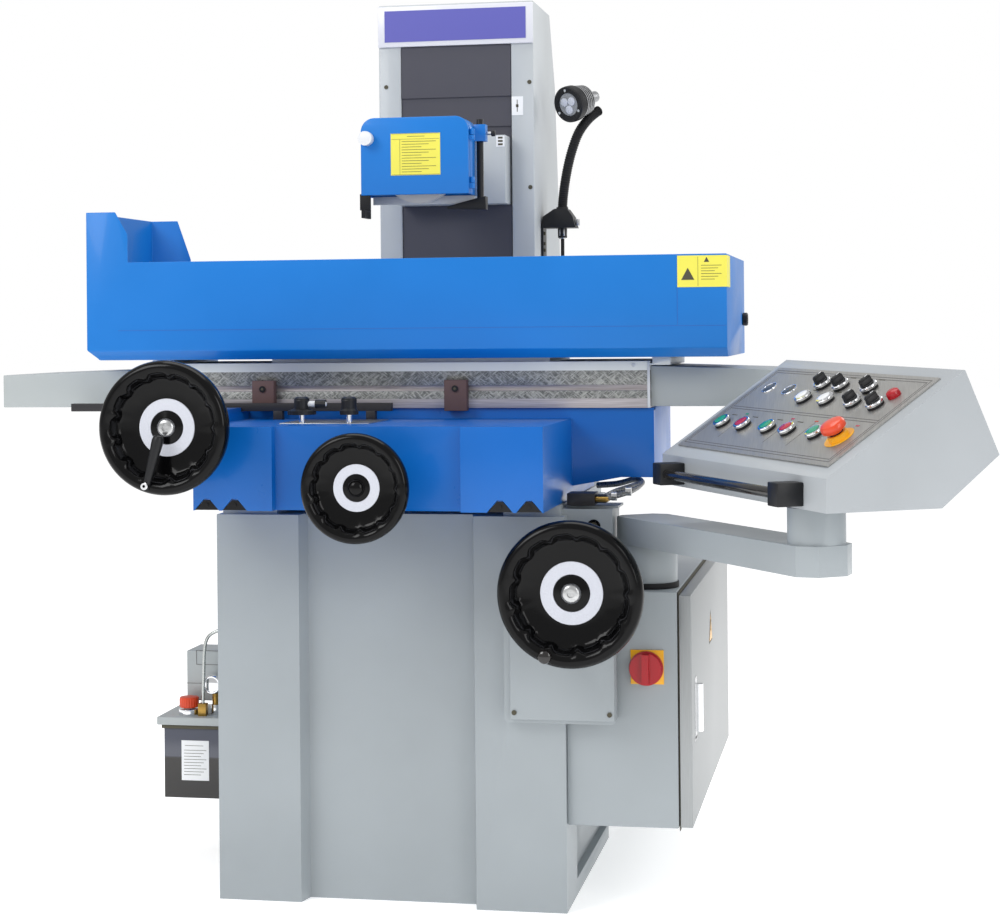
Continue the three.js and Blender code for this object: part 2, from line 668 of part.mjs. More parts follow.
function makeArm() {
  const lowerPost = rod("z", [ARM.x, ARM.y, 0], ARM.post, CABINET.top + GAP, ARM.bottom - GAP, 28);
  mesh("arm_post", lowerPost, matte(COLOUR.grey, 0.5));
  const length = Math.hypot(ARM.endX - ARM.x, ARM.endY - ARM.y);
  const { half, squareEnd, corner, bevel } = ARM;
  const tip = length + ARM.tip;
  const outline = [
    [-squareEnd + corner, -half],
    [tip - bevel, -half],
    [tip, -half + bevel],
    [tip, half - bevel],
    [tip - bevel, half],
    [-squareEnd + corner, half],
    [-squareEnd, half - corner],
    [-squareEnd, -half + corner],
  ];
  const beam = prism("z", outline, ARM.bottom, ARM.top).rotateZ(armAngle).translate(ARM.x, ARM.y, 0);
  const post = rod("z", [ARM.endX, ARM.endY, 0], ARM.upperPost, ARM.top - 1, CONSOLE.z + 1.2, 28);
  mesh("swing_arm", join(beam, post), matte(COLOUR.grey, 0.5));
}

// Offsets the console's side outline inwards by the sheet thickness.
function consoleSide(inset) {
  const { lip, crestY, crestZ, rearY, rearZ, floorY } = CONSOLE_SIDE;
  const middle = new THREE.Vector2(150, 85);
  return [[0, 0], [floorY, 0], [rearY, rearZ], [crestY, crestZ], [0, lip]].map(([y, z]) => {
    const point = new THREE.Vector2(y, z);
    const reach = point.distanceTo(middle);
    return point.lerp(middle, (inset * 1.6) / reach).toArray();
  });
}

function makePendant() {
  const pendant = new THREE.Group();
  pendant.position.set(CONSOLE.x, CONSOLE.y, CONSOLE.z);
  pendant.rotation.order = "ZYX";
  pendant.rotation.z = THREE.MathUtils.degToRad(CONSOLE.turn);
  pendant.rotation.y = THREE.MathUtils.degToRad(CONSOLE.rise);
  machine.add(pendant);

  // The slope's own group: X along the console, Y up the slope, Z out of the panel.
  const slope = new THREE.Group();
  const tilt = Math.atan2(CONSOLE_SIDE.crestZ - CONSOLE_SIDE.lip, CONSOLE_SIDE.crestY);
  slope.position.z = CONSOLE_SIDE.lip;
  slope.rotation.x = tilt;
  pendant.add(slope);

  const window = box(
    PANEL.left + PANEL.margin,
    PANEL.right - PANEL.margin,
    PANEL.low + PANEL.margin,
    PANEL.high - PANEL.margin,
    -12,
    12,
  );
  window.rotateX(tilt).translate(0, 0, CONSOLE_SIDE.lip);
  // The wires come up through a hole in the floor, over the arm's post.
  pendant.updateMatrixWorld(true);
  const overPost = pendant.worldToLocal(new THREE.Vector3(ARM.endX, ARM.endY, CONSOLE.z));
  const shell = cut(
    prism("x", consoleSide(0), -CONSOLE.length, 0),
    prism("x", consoleSide(CONSOLE.sheet), -CONSOLE.length + CONSOLE.sheet, -CONSOLE.sheet),
    window,
    rod("z", [overPost.x, overPost.y, 0], CONSOLE.cableHole, -1, 20),
  );
  mesh("pendant_console", shell, matte(COLOUR.paleGrey, 0.5), pendant);

  const { left, right, halfBlock, front, barFront, barBack } = CONSOLE_HANDLE;
  const blocks = [left, right].map((middle) =>
    box(middle - halfBlock, middle + halfBlock, front, -GAP, 5, 42),
  );
  const grip = box(left, right, barFront, barBack, 17, 31);
  mesh("pendant_handle", join(...blocks, grip), matte(COLOUR.black, 0.5), pendant);
  makePendantControls(slope);
}

// How far each control sits from the console's right end, and how far up the slope its row is.
const CONTROLS = {
  lowRow: 95,
  upperRow: 181,
  topRow: 222,
  green: [475, 317, 164],
  red: [402, 251],
  white: [324, 252],
  lowSelector: [169, 102],
  topSelector: [319, 262, 175],
  emergency: 92,
};

// Profile of the emergency stop's head.
const MUSHROOM = [[0, 13], [9.5, 13], [9.5, 16.4], [14, 17.5], [20, 19], [20, 28], [15, 32], [0, 34]];

function makePendantControls(slope) {
  const { lowRow, upperRow, topRow } = CONTROLS;
  const row = (kind, name, first, reaches, y, colour) =>
    reaches.map((reach, i) => ({ kind, name: `${name}_${first + i}`, x: -reach, y, colour }));
  const places = [
    ...row("cap", "green_button", 1, CONTROLS.green, lowRow, COLOUR.green),
    ...row("cap", "red_button", 1, CONTROLS.red, lowRow, COLOUR.red),
    ...row("cap", "white_button", 1, CONTROLS.white, upperRow, COLOUR.white),
    ...row("selector", "selector", 1, CONTROLS.lowSelector, upperRow),
    ...row("selector", "selector", 3, CONTROLS.topSelector, topRow),
    { kind: "mushroom", name: "emergency_stop", x: -CONTROLS.emergency, y: lowRow, colour: COLOUR.orange },
  ];

  const { cap, bezel, hole, bezelTop, capTop, capBottom } = BUTTON;
  const plate = box(PANEL.left, PANEL.right, PANEL.low, PANEL.high, GAP, PANEL.thick);
  const bezels = places.map(({ x, y }) => rod("z", [x, y, 0], bezel, PANEL.thick - 1, bezelTop, 16));
  const holes = places.map(({ x, y }) => rod("z", [x, y, 0], hole, -1, bezelTop + 1, 16));
  mesh("pendant_panel", cut(join(plate, ...bezels), ...holes), matte(0xa09f9c, 0.35, 0.9), slope);

  for (const { kind, name, x, y, colour } of places) {
    const stem = rod("z", [x, y, 0], cap, capBottom, capTop, 16);
    const shapes = {
      cap: () => stem,
      selector: () => join(stem, box(x - 3.5, x + 3.5, y - 10.5, y + 10.5, capTop - 1, capTop + 10)),
      mushroom: () => join(stem, turned("z", [x, y, 0], MUSHROOM, 20)),
    };
    mesh(name, shapes[kind](), matte(colour ?? COLOUR.black, 0.35), slope);
  }
}

// ---------------------------------------------------------------- work lamp on the column
function makeLamp() {
  const { x, y, top, bottom, glandBottom, neck, bendX, bendZ } = LAMP;
  const side = COLUMN.middle + COLUMN.half + GAP;
  const block = [
    [side, bottom],
    [x + 32, bottom],
    [x + 26, bottom + 24],
    [x + 14, top],
    [x - 14, top],
    [side + 4, bottom + 24],
  ];
  const gland = rod("z", [x, y, 0], 10, glandBottom, bottom + 1, 12);
  const bracket = box(side, side + 5, y - 22, y + 22, bottom - 67, bottom + 1);
  mesh("lamp_mount", join(prism("y", block, y - 26, y + 26), gland, bracket), matte(COLOUR.black, 0.5));
  const lower = bar([[x, y, top + 1], [x + 3, y, 1331], [x + 10, y, 1375], [bendX, y, bendZ]], neck, 8, 5);
  const ball = new THREE.SphereGeometry(neck, 16, 10).translate(bendX, y, bendZ);
  mesh("gooseneck_lower", join(lower, ball), matte(COLOUR.black, 0.6));
  const rise = [
    [bendX + 4, y, bendZ + 11.5],
    [236, y + 4, 1462],
    [255, y + 16, 1492],
    [271, y + 31, 1509],
    [277, y + 38, 1514],
  ];
  const upper = bar(rise, neck, 8, 5);
  mesh("gooseneck_upper", upper, matte(COLOUR.black, 0.6));

  const lamp = new THREE.Group();
  lamp.position.set(221, 790, 1522);
  lamp.lookAt(221 - 0.512, 790 - 0.82, 1522 - 0.256);
  machine.add(lamp);
  const profile = [
    [0, 0],
    [32, 0],
    [34, 4],
    [39, 4],
    [39, -16],
    [31, -24],
    [26, -54],
    [15, -58],
    [12, -92],
    [0, -92],
  ];
  mesh("lamp_head", turned("z", [0, 0, 0], profile, 24), matte(COLOUR.darkSteel, 0.4, 0.5), lamp);

  const run = [
    [x, y, glandBottom - GAP],
    [x, y, 1150],
    [x + 2, y, 1080],
    [x - 4, y, 1010],
    [side + 20, y, 970],
    [side + 9, y, 962],
    [side, y, 961.5],
  ];
  mesh("lamp_cable", bar(run, 4, 16, 4), matte(COLOUR.black, 0.7));
}

// ---------------------------------------------------------------- way oil lubricator
function makeLubricator() {
  const { left, right, front, back, bottom, top } = LUBRICATOR;
  const tank = cut(
    box(left, right, front, back, bottom, top),
    box(left + 4, right - 4, front + 4, back - 4, bottom + 4, top + 1),
  );
  const bracket = box(right - 1, -BASE.half - GAP, front + 20, back - 20, bottom + 30, top);
  mesh("lubricator_tank", join(tank, bracket), matte(0x6a707c, 0.15));
  const lid = box(left - 13, right + 5, front - 6, back + 4, top + GAP, top + 16);
  const pump = box(-425, right, front + 60, back, top + 15, top + 40);
  const motor = box(-486, right, front + 56, back, top + 39, top + 138);
  const neck = rod("z", [-472, front + 28, 0], 11, top + 15, top + 31, 16);
  mesh("lubricator_pump", join(lid, pump, motor, neck), matte(COLOUR.grey, 0.5));
  const cap = rod("z", [-472, front + 28, 0], 18, top + 31 + GAP, top + 51, 20);
  mesh("filler_cap", cap, matte(COLOUR.orange, 0.4));
}

// ---------------------------------------------------------------- assembly
makeBase();
makeColumn();
makeWayCovers();
makeElevatingScrew();
makeElevatingWheel();
makeSaddle();
makeLongitudinalWheel();
makeTableLevers();
makeTable();
makeSplashGuard();
makeTableCover("left_table_cover", -1);
makeTableCover("right_table_cover", 1);
makeDog("left_table_dog", DOG.leftX, DOG.leftBottom);
makeDog("right_table_dog", DOG.rightX, DOG.rightBottom);
makeHead();
makeSpindle();
makeGuard();
makeCabinet();
makeArm();
makePendant();
makeLamp();
makeLubricator();

// The origin goes to the middle of the footprint, on the floor.
const footprint = new THREE.Box3().setFromObject(machine);
const middle = footprint.getCenter(new THREE.Vector3());
machine.position.set(-middle.x, -middle.y, 0);

export default machine;
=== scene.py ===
"""Surface grinder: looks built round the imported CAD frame.

Lengths are in millimetres until mm() turns them into places in metres.
"""
import json
import math

import bmesh
import bpy
from mathutils import Matrix, Vector


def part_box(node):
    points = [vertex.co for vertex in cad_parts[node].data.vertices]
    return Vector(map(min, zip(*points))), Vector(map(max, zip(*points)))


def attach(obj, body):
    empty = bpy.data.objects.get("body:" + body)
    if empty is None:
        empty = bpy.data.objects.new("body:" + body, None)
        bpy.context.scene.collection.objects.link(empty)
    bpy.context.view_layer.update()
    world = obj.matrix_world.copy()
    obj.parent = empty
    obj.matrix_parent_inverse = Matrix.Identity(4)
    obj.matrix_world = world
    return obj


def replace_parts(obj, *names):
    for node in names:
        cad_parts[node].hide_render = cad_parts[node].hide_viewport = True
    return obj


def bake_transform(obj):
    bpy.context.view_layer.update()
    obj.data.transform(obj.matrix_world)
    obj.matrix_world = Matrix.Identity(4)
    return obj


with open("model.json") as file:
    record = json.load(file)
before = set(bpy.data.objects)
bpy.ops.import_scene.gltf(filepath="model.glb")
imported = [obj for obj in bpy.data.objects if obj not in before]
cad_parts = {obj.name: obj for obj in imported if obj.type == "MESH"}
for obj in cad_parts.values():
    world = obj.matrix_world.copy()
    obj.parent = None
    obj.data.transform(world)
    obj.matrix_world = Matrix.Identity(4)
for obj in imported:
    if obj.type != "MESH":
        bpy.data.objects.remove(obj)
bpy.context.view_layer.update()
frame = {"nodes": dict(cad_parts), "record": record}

scene = bpy.context.scene
TAU = 2 * math.pi

# ---------------------------------------------------------------- drawing frame
# The drawing's zero is on the floor, under the middle of the chuck and just ahead of the cabinet.
CABINET_SET_BACK = 0.012
CHUCK_LOW, CHUCK_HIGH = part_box("magnetic_chuck")
ZERO_X = (CHUCK_LOW[0] + CHUCK_HIGH[0]) / 2
ZERO_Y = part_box("electrical_cabinet")[0][1] - CABINET_SET_BACK


def mm(x, y, z):
    return Vector((ZERO_X + x / 1000, ZERO_Y + y / 1000, z / 1000))


# ---------------------------------------------------------------- camera
CAMERA_PLACE = mm(894, -3745, 1045)
CAMERA_YAW = math.radians(10.86)
CAMERA_PITCH = math.radians(0.26)
CAMERA_ROLL = math.radians(-0.52)
CAMERA_LENS = 76.572
CAMERA_SENSOR = 36
CAMERA_SHIFT = (0.019, -0.141)


def make_camera():
    data = bpy.data.cameras.new("camera")
    data.sensor_width = CAMERA_SENSOR
    data.lens = CAMERA_LENS
    data.shift_x, data.shift_y = CAMERA_SHIFT
    data.clip_end = 60
    camera = bpy.data.objects.new("camera", data)
    side = Vector((math.cos(CAMERA_YAW), math.sin(CAMERA_YAW), 0))
    ahead = Vector((
        -math.sin(CAMERA_YAW) * math.cos(CAMERA_PITCH),
        math.cos(CAMERA_YAW) * math.cos(CAMERA_PITCH),
        math.sin(CAMERA_PITCH),
    ))
    above = side.cross(ahead)
    right = math.cos(CAMERA_ROLL) * side + math.sin(CAMERA_ROLL) * above
    up = -math.sin(CAMERA_ROLL) * side + math.cos(CAMERA_ROLL) * above
    turn = Matrix((right, up, -ahead)).transposed().to_4x4()
    camera.matrix_world = Matrix.Translation(CAMERA_PLACE) @ turn
    scene.collection.objects.link(camera)
    scene.camera = camera


def make_light(name, place, target, power, size):
    data = bpy.data.lights.new(name, "AREA")
    data.energy = power
    data.shape = "RECTANGLE"
    data.size, data.size_y = size
    light = bpy.data.objects.new(name, data)
    aim = (Vector(target) - Vector(place)).to_track_quat("-Z", "Y")
    light.matrix_world = Matrix.Translation(place) @ aim.to_matrix().to_4x4()
    scene.collection.objects.link(light)


def make_sky():
    """A soft sky for lighting, seen by the camera as plain white."""
    world = bpy.data.worlds.new("studio")
    world.use_nodes = True
    tree = world.node_tree
    soft = tree.nodes["Background"]
    white = tree.nodes.new("ShaderNodeBackground")
    for sky, strength in ((soft, 0.6), (white, 1.0)):
        sky.inputs["Color"].default_value = (1, 1, 1, 1)
        sky.inputs["Strength"].default_value = strength
    rays = tree.nodes.new("ShaderNodeLightPath")
    mix = tree.nodes.new("ShaderNodeMixShader")
    tree.links.new(rays.outputs["Is Camera Ray"], mix.inputs[0])
    tree.links.new(soft.outputs[0], mix.inputs[1])
    tree.links.new(white.outputs[0], mix.inputs[2])
    tree.links.new(mix.outputs[0], tree.nodes["World Output"].inputs["Surface"])
    scene.world = world


def make_studio():
    scene.view_settings.view_transform = "Standard"
    make_sky()
    make_light("key", (-2.6, -3.4, 3.6), (0, 0, 0.9), 85, (2.2, 2.2))
    make_light("fill", (3.4, -3.0, 2.2), (0.2, 0, 0.8), 45, (1.6, 2.6))
    make_light("top", (0, 0.2, 4.2), (0, 0, 0), 50, (3.0, 2.0))
    make_light("rim", (2.6, 3.0, 2.8), (0, 0, 1.0), 35, (1.6, 1.6))
    bpy.ops.mesh.primitive_plane_add(size=60, location=(0, 0, 0))
    floor = bpy.context.object
    floor.name = "studio_floor"
    ground = Surface("floor_white", (0.9, 0.9, 0.9), 0.9)
    ground.shader.inputs["Specular IOR Level"].default_value = 0
    ground.shader.inputs["Emission Color"].default_value = (1, 1, 1, 1)
    ground.shader.inputs["Emission Strength"].default_value = 0.5
    floor.data.materials.append(ground.material)


# ---------------------------------------------------------------- materials
def linear(code):
    parts = [int(code[i : i + 2], 16) / 255 for i in (1, 3, 5)]
    return tuple(c / 12.92 if c <= 0.04045 else ((c + 0.055) / 1.055) ** 2.4 for c in parts)


class Surface:
    """A principled material with helpers for its node tree."""

    def __init__(self, name, colour, roughness, metallic=0.0, coat=0.0):
        self.material = bpy.data.materials.new(name)
        self.material.use_nodes = True
        self.tree = self.material.node_tree
        self.shader = self.tree.nodes["Principled BSDF"]
        self.colour = colour
        self.shader.inputs["Base Color"].default_value = (*colour, 1)
        self.shader.inputs["Roughness"].default_value = roughness
        self.shader.inputs["Metallic"].default_value = metallic
        self.shader.inputs["Coat Weight"].default_value = coat
        self.shader.inputs["Coat Roughness"].default_value = 0.08
        self.place = self.node("ShaderNodeTexCoord")

    def node(self, kind, **values):
        made = self.tree.nodes.new(kind)
        for key, value in values.items():
            setattr(made, key, value)
        return made

    def link(self, start, end):
        self.tree.links.new(start, end)

    def noise(self, scale, detail=4, stretch=(1, 1, 1), turn=(0, 0, 0), roughness=0.5):
        mapping = self.node("ShaderNodeMapping", vector_type="TEXTURE")
        mapping.inputs["Scale"].default_value = [1 / share for share in stretch]
        mapping.inputs["Rotation"].default_value = turn
        texture = self.node("ShaderNodeTexNoise")
        texture.inputs["Scale"].default_value = scale
        texture.inputs["Detail"].default_value = detail
        texture.inputs["Roughness"].default_value = roughness
        self.link(self.place.outputs["Object"], mapping.inputs["Vector"])
        self.link(mapping.outputs["Vector"], texture.inputs["Vector"])
        return texture.outputs["Fac"]

    def ramp(self, value, stops):
        made = self.node("ShaderNodeValToRGB")
        while len(made.color_ramp.elements) < len(stops):
            made.color_ramp.elements.new(0.5)
        for element, (where, colour) in zip(made.color_ramp.elements, stops):
            element.position = where
            element.color = (*colour, 1)
        self.link(value, made.inputs["Fac"])
        return made.outputs["Color"]

    def tint(self, value, low, high, start=0.3, end=0.7):
        """Paints the base colour between two multiples of itself."""
        shade = lambda k: tuple(min(1, c * k) for c in self.colour)
        shades = self.ramp(value, [(start, shade(low)), (end, shade(high))])
        self.link(shades, self.shader.inputs["Base Color"])

    def vary_roughness(self, value, low, high):
        made = self.node("ShaderNodeMapRange")
        made.inputs["To Min"].default_value = low
        made.inputs["To Max"].default_value = high
        self.link(value, made.inputs["Value"])
        self.link(made.outputs["Result"], self.shader.inputs["Roughness"])

    def bump(self, value, strength, distance=0.0005):
        made = self.node("ShaderNodeBump")
        made.inputs["Strength"].default_value = strength
        made.inputs["Distance"].default_value = distance
        self.link(value, made.inputs["Height"])
        self.link(made.outputs["Normal"], self.shader.inputs["Normal"])


def simple(name, colour, roughness, metallic=0.0, coat=0.0):
    return Surface(name, colour, roughness, metallic, coat).material


def paint(name, code, roughness=0.4, coat=0.15, mottle=0.06, peel=0.12):
    """Sprayed paint: faint mottling, orange peel and uneven gloss."""
    made = Surface(name, linear(code), roughness, 0, coat)
    made.shader.inputs["Specular IOR Level"].default_value = 0.32
    broad = made.noise(3.5, 5)
    made.tint(broad, 1 - mottle, 1 + mottle)
    made.vary_roughness(made.noise(14, 6), roughness - 0.07, roughness + 0.09)
    made.bump(made.noise(420, 2), peel, 0.0003)
    return made.material


def brushed(name, code, roughness=0.32, stretch=(0.02, 1, 1), scale=900, contrast=0.14, metallic=1.0):
    made = Surface(name, linear(code), roughness, metallic)
    grain = made.noise(scale, 3, stretch)
    made.tint(grain, 1 - contrast, 1 + contrast)
    made.vary_roughness(grain, roughness - 0.08, roughness + 0.1)
    made.bump(grain, 0.08, 0.0002)
    return made.material


def plastic(name, code, roughness=0.45, grain=0.1, coat=0.0):
    made = Surface(name, linear(code), roughness, 0, coat)
    made.shader.inputs["Specular IOR Level"].default_value = 0.35
    made.vary_roughness(made.noise(30, 4), roughness - 0.06, roughness + 0.08)
    made.bump(made.noise(700, 2), grain, 0.0003)
    return made.material


def enamel(name, code):
    """Glossy black handwheel enamel with faint swirls."""
    made = Surface(name, linear(code), 0.16, 0, 0.08)
    made.shader.inputs["Specular IOR Level"].default_value = 0.16
    made.vary_roughness(made.noise(18, 6, (1, 1, 1), roughness=0.65), 0.08, 0.22)
    made.bump(made.noise(60, 3), 0.05, 0.0006)
    return made.material


def speckled(name, code):
    """Sand-blasted aluminium ring with fine sparkle."""
    made = Surface(name, linear(code), 0.45, 0.35)
    grain = made.noise(1500, 2)
    made.tint(grain, 0.86, 1.1, 0.35, 0.65)
    made.bump(grain, 0.25, 0.0003)
    return made.material


# Heights where the table's front changes: ground, scraped, ground slot, scraped, painted.
SCRAPED_FROM, SLOT_FROM, SLOT_TO, PAINTED_FROM = 910, 924.8, 935.4, 962


def scraped_table():
    """The table's front: ground strip, scraped bands either side of the slot, and the painted top band,
    coloured paler than its own grey as painted light against the splash guard's shade.
    """
    made = Surface("table_front", linear("#9C9C9A"), 0.42, 0.55)
    hatch = [made.noise(460, 2, (1, 1, 0.2), (0, math.radians(side * 52), 0)) for side in (-1, 1)]
    most = made.node("ShaderNodeMath", operation="MAXIMUM")
    for socket, value in zip(most.inputs, hatch):
        made.link(value, socket)
    scraped = made.ramp(most.outputs[0], [(0.44, linear("#6A6C6A")), (0.7, linear("#B4B5B1"))])
    streaks = made.noise(500, 3, (0.03, 1, 1))
    smooth = made.ramp(streaks, [(0.3, linear("#A9A2A4")), (0.7, linear("#C9C4C6"))])
    # Top band: its paint grey is raised well above its own tone, as painted light that offsets the shade
    # the splash guard casts on it.
    painted = made.ramp(made.noise(5, 3), [(0.3, linear("#DCE1E2")), (0.7, linear("#E8ECEC"))])
    split = made.node("ShaderNodeSeparateXYZ")
    made.link(made.place.outputs["Object"], split.inputs[0])

    def above(height):
        test = made.node("ShaderNodeMath", operation="GREATER_THAN")
        made.link(split.outputs["Z"], test.inputs[0])
        test.inputs[1].default_value = height / 1000
        return test.outputs[0]

    def choose(mask, low, high):
        mix = made.node("ShaderNodeMix", data_type="RGBA")
        made.link(mask, mix.inputs[0])
        made.link(low, mix.inputs[6])
        made.link(high, mix.inputs[7])
        return mix.outputs[2]

    colour = choose(above(SCRAPED_FROM), smooth, scraped)
    colour = choose(above(SLOT_FROM), colour, smooth)
    colour = choose(above(SLOT_TO), colour, scraped)
    colour = choose(above(PAINTED_FROM), colour, painted)
    made.link(colour, made.shader.inputs["Base Color"])
    made.bump(most.outputs[0], 0.25, 0.0003)
    return made.material


OIL_LEVEL = 0.204


def oily_tank():
    """Smoked plastic that is dark up to the oil's level."""
    made = Surface("tank_plastic", linear("#5A5F6E"), 0.14, 0, 0.4)
    split = made.node("ShaderNodeSeparateXYZ")
    made.link(made.place.outputs["Object"], split.inputs[0])
    oil = [(0.0, linear("#15130F")), (OIL_LEVEL, linear("#1B1815"))]
    air = [(OIL_LEVEL + 0.003, linear("#50535F")), (1, linear("#6B7080"))]
    made.link(made.ramp(split.outputs["Z"], oil + air), made.shader.inputs["Base Color"])
    return made.material


def braided():
    """Woven steel hose cover."""
    made = Surface("hose_braid", linear("#8E8F90"), 0.4, 0.7)
    turns = [math.radians(side * 50) for side in (-1, 1)]
    weave = [made.noise(700, 1, (1, 1, 0.3), (0, turn, turn)) for turn in turns]
    most = made.node("ShaderNodeMath", operation="MAXIMUM")
    for socket, value in zip(most.inputs, weave):
        made.link(value, socket)
    made.tint(most.outputs[0], 0.35, 1.25, 0.45, 0.62)
    made.bump(most.outputs[0], 0.5, 0.0006)
    return made.material


def glowing(name, code, strength):
    made = Surface(name, linear(code), 0.3)
    made.shader.inputs["Emission Color"].default_value = (*linear(code), 1)
    made.shader.inputs["Emission Strength"].default_value = strength
    return made.material


make_camera()
make_studio()

LOOKS = {
    "grey": (paint("grey_paint", "#9DA4A8"), "grey_paint"),
    "pale": (paint("pale_grey_paint", "#BABFC2"), "pale_grey_paint"),
    "pendant": (paint("pendant_paint", "#A8ADB1", 0.42, 0.12), "pale_grey_paint"),
    "cover": (paint("cover_paint", "#ABB1B2", 0.4, 0.15, 0.04), "pale_grey_paint"),
    "blue": (paint("blue_paint", "#0F76CB", 0.34, 0.12, 0.05), "blue_paint"),
    "deep_blue": (paint("deep_blue_paint", "#0562B8", 0.3, 0.15, 0.05), "deep_blue_paint"),
    "seam": (simple("fold_line", linear("#2068BC"), 0.4), "blue_paint"),
    "frame": (paint("plate_frame", "#DCDDE4", 0.3, 0.2, 0.02), "white_plastic"),
    "bright_cover": (paint("bright_paint", "#D5D9DC", 0.35, 0.3, 0.03), "pale_grey_paint"),
    "dark_iron": (paint("dark_iron", "#2B2A2D", 0.5, 0.1, 0.1, 0.3), "black_plastic"),
    "pearl": (plastic("pearl_plastic", "#D8DADC", 0.3, 0.0, 0.3), "white_plastic"),
    "gloss_black": (plastic("gloss_black", "#1C1A19", 0.14, 0.0, 0.6), "black_plastic"),
    "smoke": (simple("smoked_lamp", linear("#3C3C37"), 0.3, 0, 0.2), "black_plastic"),
    "pipe": (brushed("pipe_steel", "#B9BDBB", 0.25), "machined_steel"),
    "fin_steel": (brushed("fin_steel", "#A6A7A9", 0.35), "machined_steel"),
    "braid": (braided(), "machined_steel"),
    "dark": (plastic("way_cover_sheet", "#4B4B54", 0.6, 0.08), "dark_cover"),
    "steel": (brushed("ground_steel", "#C4C5C6", 0.28), "machined_steel"),
    "table": (scraped_table(), "scraped_iron"),
    "enamel": (enamel("black_enamel", "#060607"), "black_enamel"),
    "ring": (speckled("ring_aluminium", "#D3D6E0"), "machined_steel"),
    "black": (plastic("black_plastic", "#17181B", 0.42), "black_plastic"),
    "rubber": (plastic("black_rubber", "#141416", 0.6, 0.2), "rubber_black"),
    "brown": (paint("dog_oxide", "#5F4A49", 0.62, 0.0, 0.16, 0.5), "brown_iron"),
    "grit": (plastic("wheel_grit", "#D9D7D0", 0.95, 1.0), "wheel_grit"),
    "chrome": (simple("chrome", (0.82, 0.83, 0.85), 0.1, 1.0), "chrome"),
    "panel": (
        brushed("panel_aluminium", "#A3A29F", 0.42, (1, 0.03, 0.03), 700, 0.1, 0.7),
        "panel_aluminium",
    ),
    "line": (simple("etched_line", linear("#6B6A69"), 0.5, 0.3), "panel_aluminium"),
    "green": (plastic("green_plastic", "#1F9270", 0.25, 0.0, 0.4), "green_plastic"),
    "red": (plastic("red_plastic", "#B01232", 0.25, 0.0, 0.4), "red_plastic"),
    "bright_red": (plastic("bright_red_plastic", "#AA0A1A", 0.22, 0.0, 0.2), "red_plastic"),
    "white": (plastic("white_plastic", "#E6E8EA", 0.3, 0.0, 0.3), "white_plastic"),
    "paper": (simple("label_paper", linear("#EEF0F2"), 0.6), "white_plastic"),
    "orange": (plastic("orange_plastic", "#E24A26", 0.3, 0.0, 0.4), "orange_plastic"),
    "cap": (plastic("cap_plastic", "#DA4620", 0.4, 0.1, 0.2), "orange_plastic"),
    "yellow": (simple("label_yellow", linear("#EDE558"), 0.45), "blue_paint"),
    "amber": (plastic("amber_plastic", "#EFAE1E", 0.35, 0.0, 0.3), "orange_plastic"),
    "ink": (simple("label_ink", linear("#4A4636"), 0.6), "black_plastic"),
    "violet": (simple("plate_violet", linear("#5A5AAF"), 0.35, 0, 0.3), "blue_paint"),
    "tank": (oily_tank(), "smoked_tank"),
    "brass": (brushed("brass", "#B08D4A", 0.3), "machined_steel"),
    "door": (brushed("door_skin", "#A2A5A6", 0.4, (1, 1, 0.04), 500, 0.05, 0.6), "pale_grey_paint"),
    "led": (glowing("led", "#C4C8D2", 0.1), "white_plastic"),
    "lens": (simple("lens", (0.34, 0.35, 0.37), 0.12, 0.4, 0.3), "white_plastic"),
}


# ---------------------------------------------------------------- building helpers
def finish_piece(name, mesh, body, looks, bevel=0.0, angle=35, segments=2, crease=30):
    """Puts a mesh in the scene as a piece on a body, with rounded edges and its materials."""
    piece = bpy.data.objects.new(name, mesh)
    scene.collection.objects.link(piece)
    names = [looks] if isinstance(looks, str) else looks
    for look in names:
        mesh.materials.append(LOOKS[look][0])
    if bevel:
        round_edges(piece, bevel, angle, segments)
    for polygon in piece.data.polygons:
        polygon.use_smooth = True
    piece.data.set_sharp_from_angle(angle=math.radians(crease))
    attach(piece, body)
    return piece


def round_edges(piece, width, angle, segments):
    modifier = piece.modifiers.new("round", "BEVEL")
    modifier.width = width / 1000
    modifier.segments = segments
    modifier.limit_method = "ANGLE"
    modifier.angle_limit = math.radians(angle)
    modifier.use_clamp_overlap = True
    graph = bpy.context.evaluated_depsgraph_get()
    rounded = bpy.data.meshes.new_from_object(piece.evaluated_get(graph))
    piece.modifiers.clear()
    old = piece.data
    piece.data = rounded
    bpy.data.meshes.remove(old)


def to_mesh(name, bm):
    bmesh.ops.recalc_face_normals(bm, faces=bm.faces)
    mesh = bpy.data.meshes.new(name)
    bm.to_mesh(mesh)
    bm.free()
    return mesh


def skin(node, look, bevel, segments):
    """The CAD node's own shape with flat faces merged and edges rounded, in its place."""
    source = frame["nodes"][node]
    bm = bmesh.new()
    bm.from_mesh(source.data)
    bmesh.ops.remove_doubles(bm, verts=bm.verts, dist=1e-6)
    bmesh.ops.dissolve_limit(bm, angle_limit=math.radians(0.5), verts=bm.verts, edges=bm.edges)
    name = node + "_skin"
    piece = finish_piece(name, to_mesh(name, bm), BODY_OF[node], look, bevel, 30, segments)
    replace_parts(piece, node)


BODY_OF = {n: b for b, nodes in frame["record"]["behaviour"]["bodies"].items() for n in nodes}
BOX_FACES = ((0, 1, 3, 2), (4, 6, 7, 5), (0, 4, 5, 1), (2, 3, 7, 6), (0, 2, 6, 4), (1, 5, 7, 3))


def patch(bm, place, x0, x1, y0, y1, z0, z1, part=0):
    """A box drawn in the frame that place() turns into the object's own."""
    corners = [place(x, y, z) for x in (x0, x1) for y in (y0, y1) for z in (z0, z1)]
    verts = [bm.verts.new(corner) for corner in corners]
    for face in BOX_FACES:
        bm.faces.new([verts[i] for i in face]).material_index = part


def block(bm, x0, x1, y0, y1, z0, z1, part=0):
    patch(bm, mm, x0, x1, y0, y1, z0, z1, part)


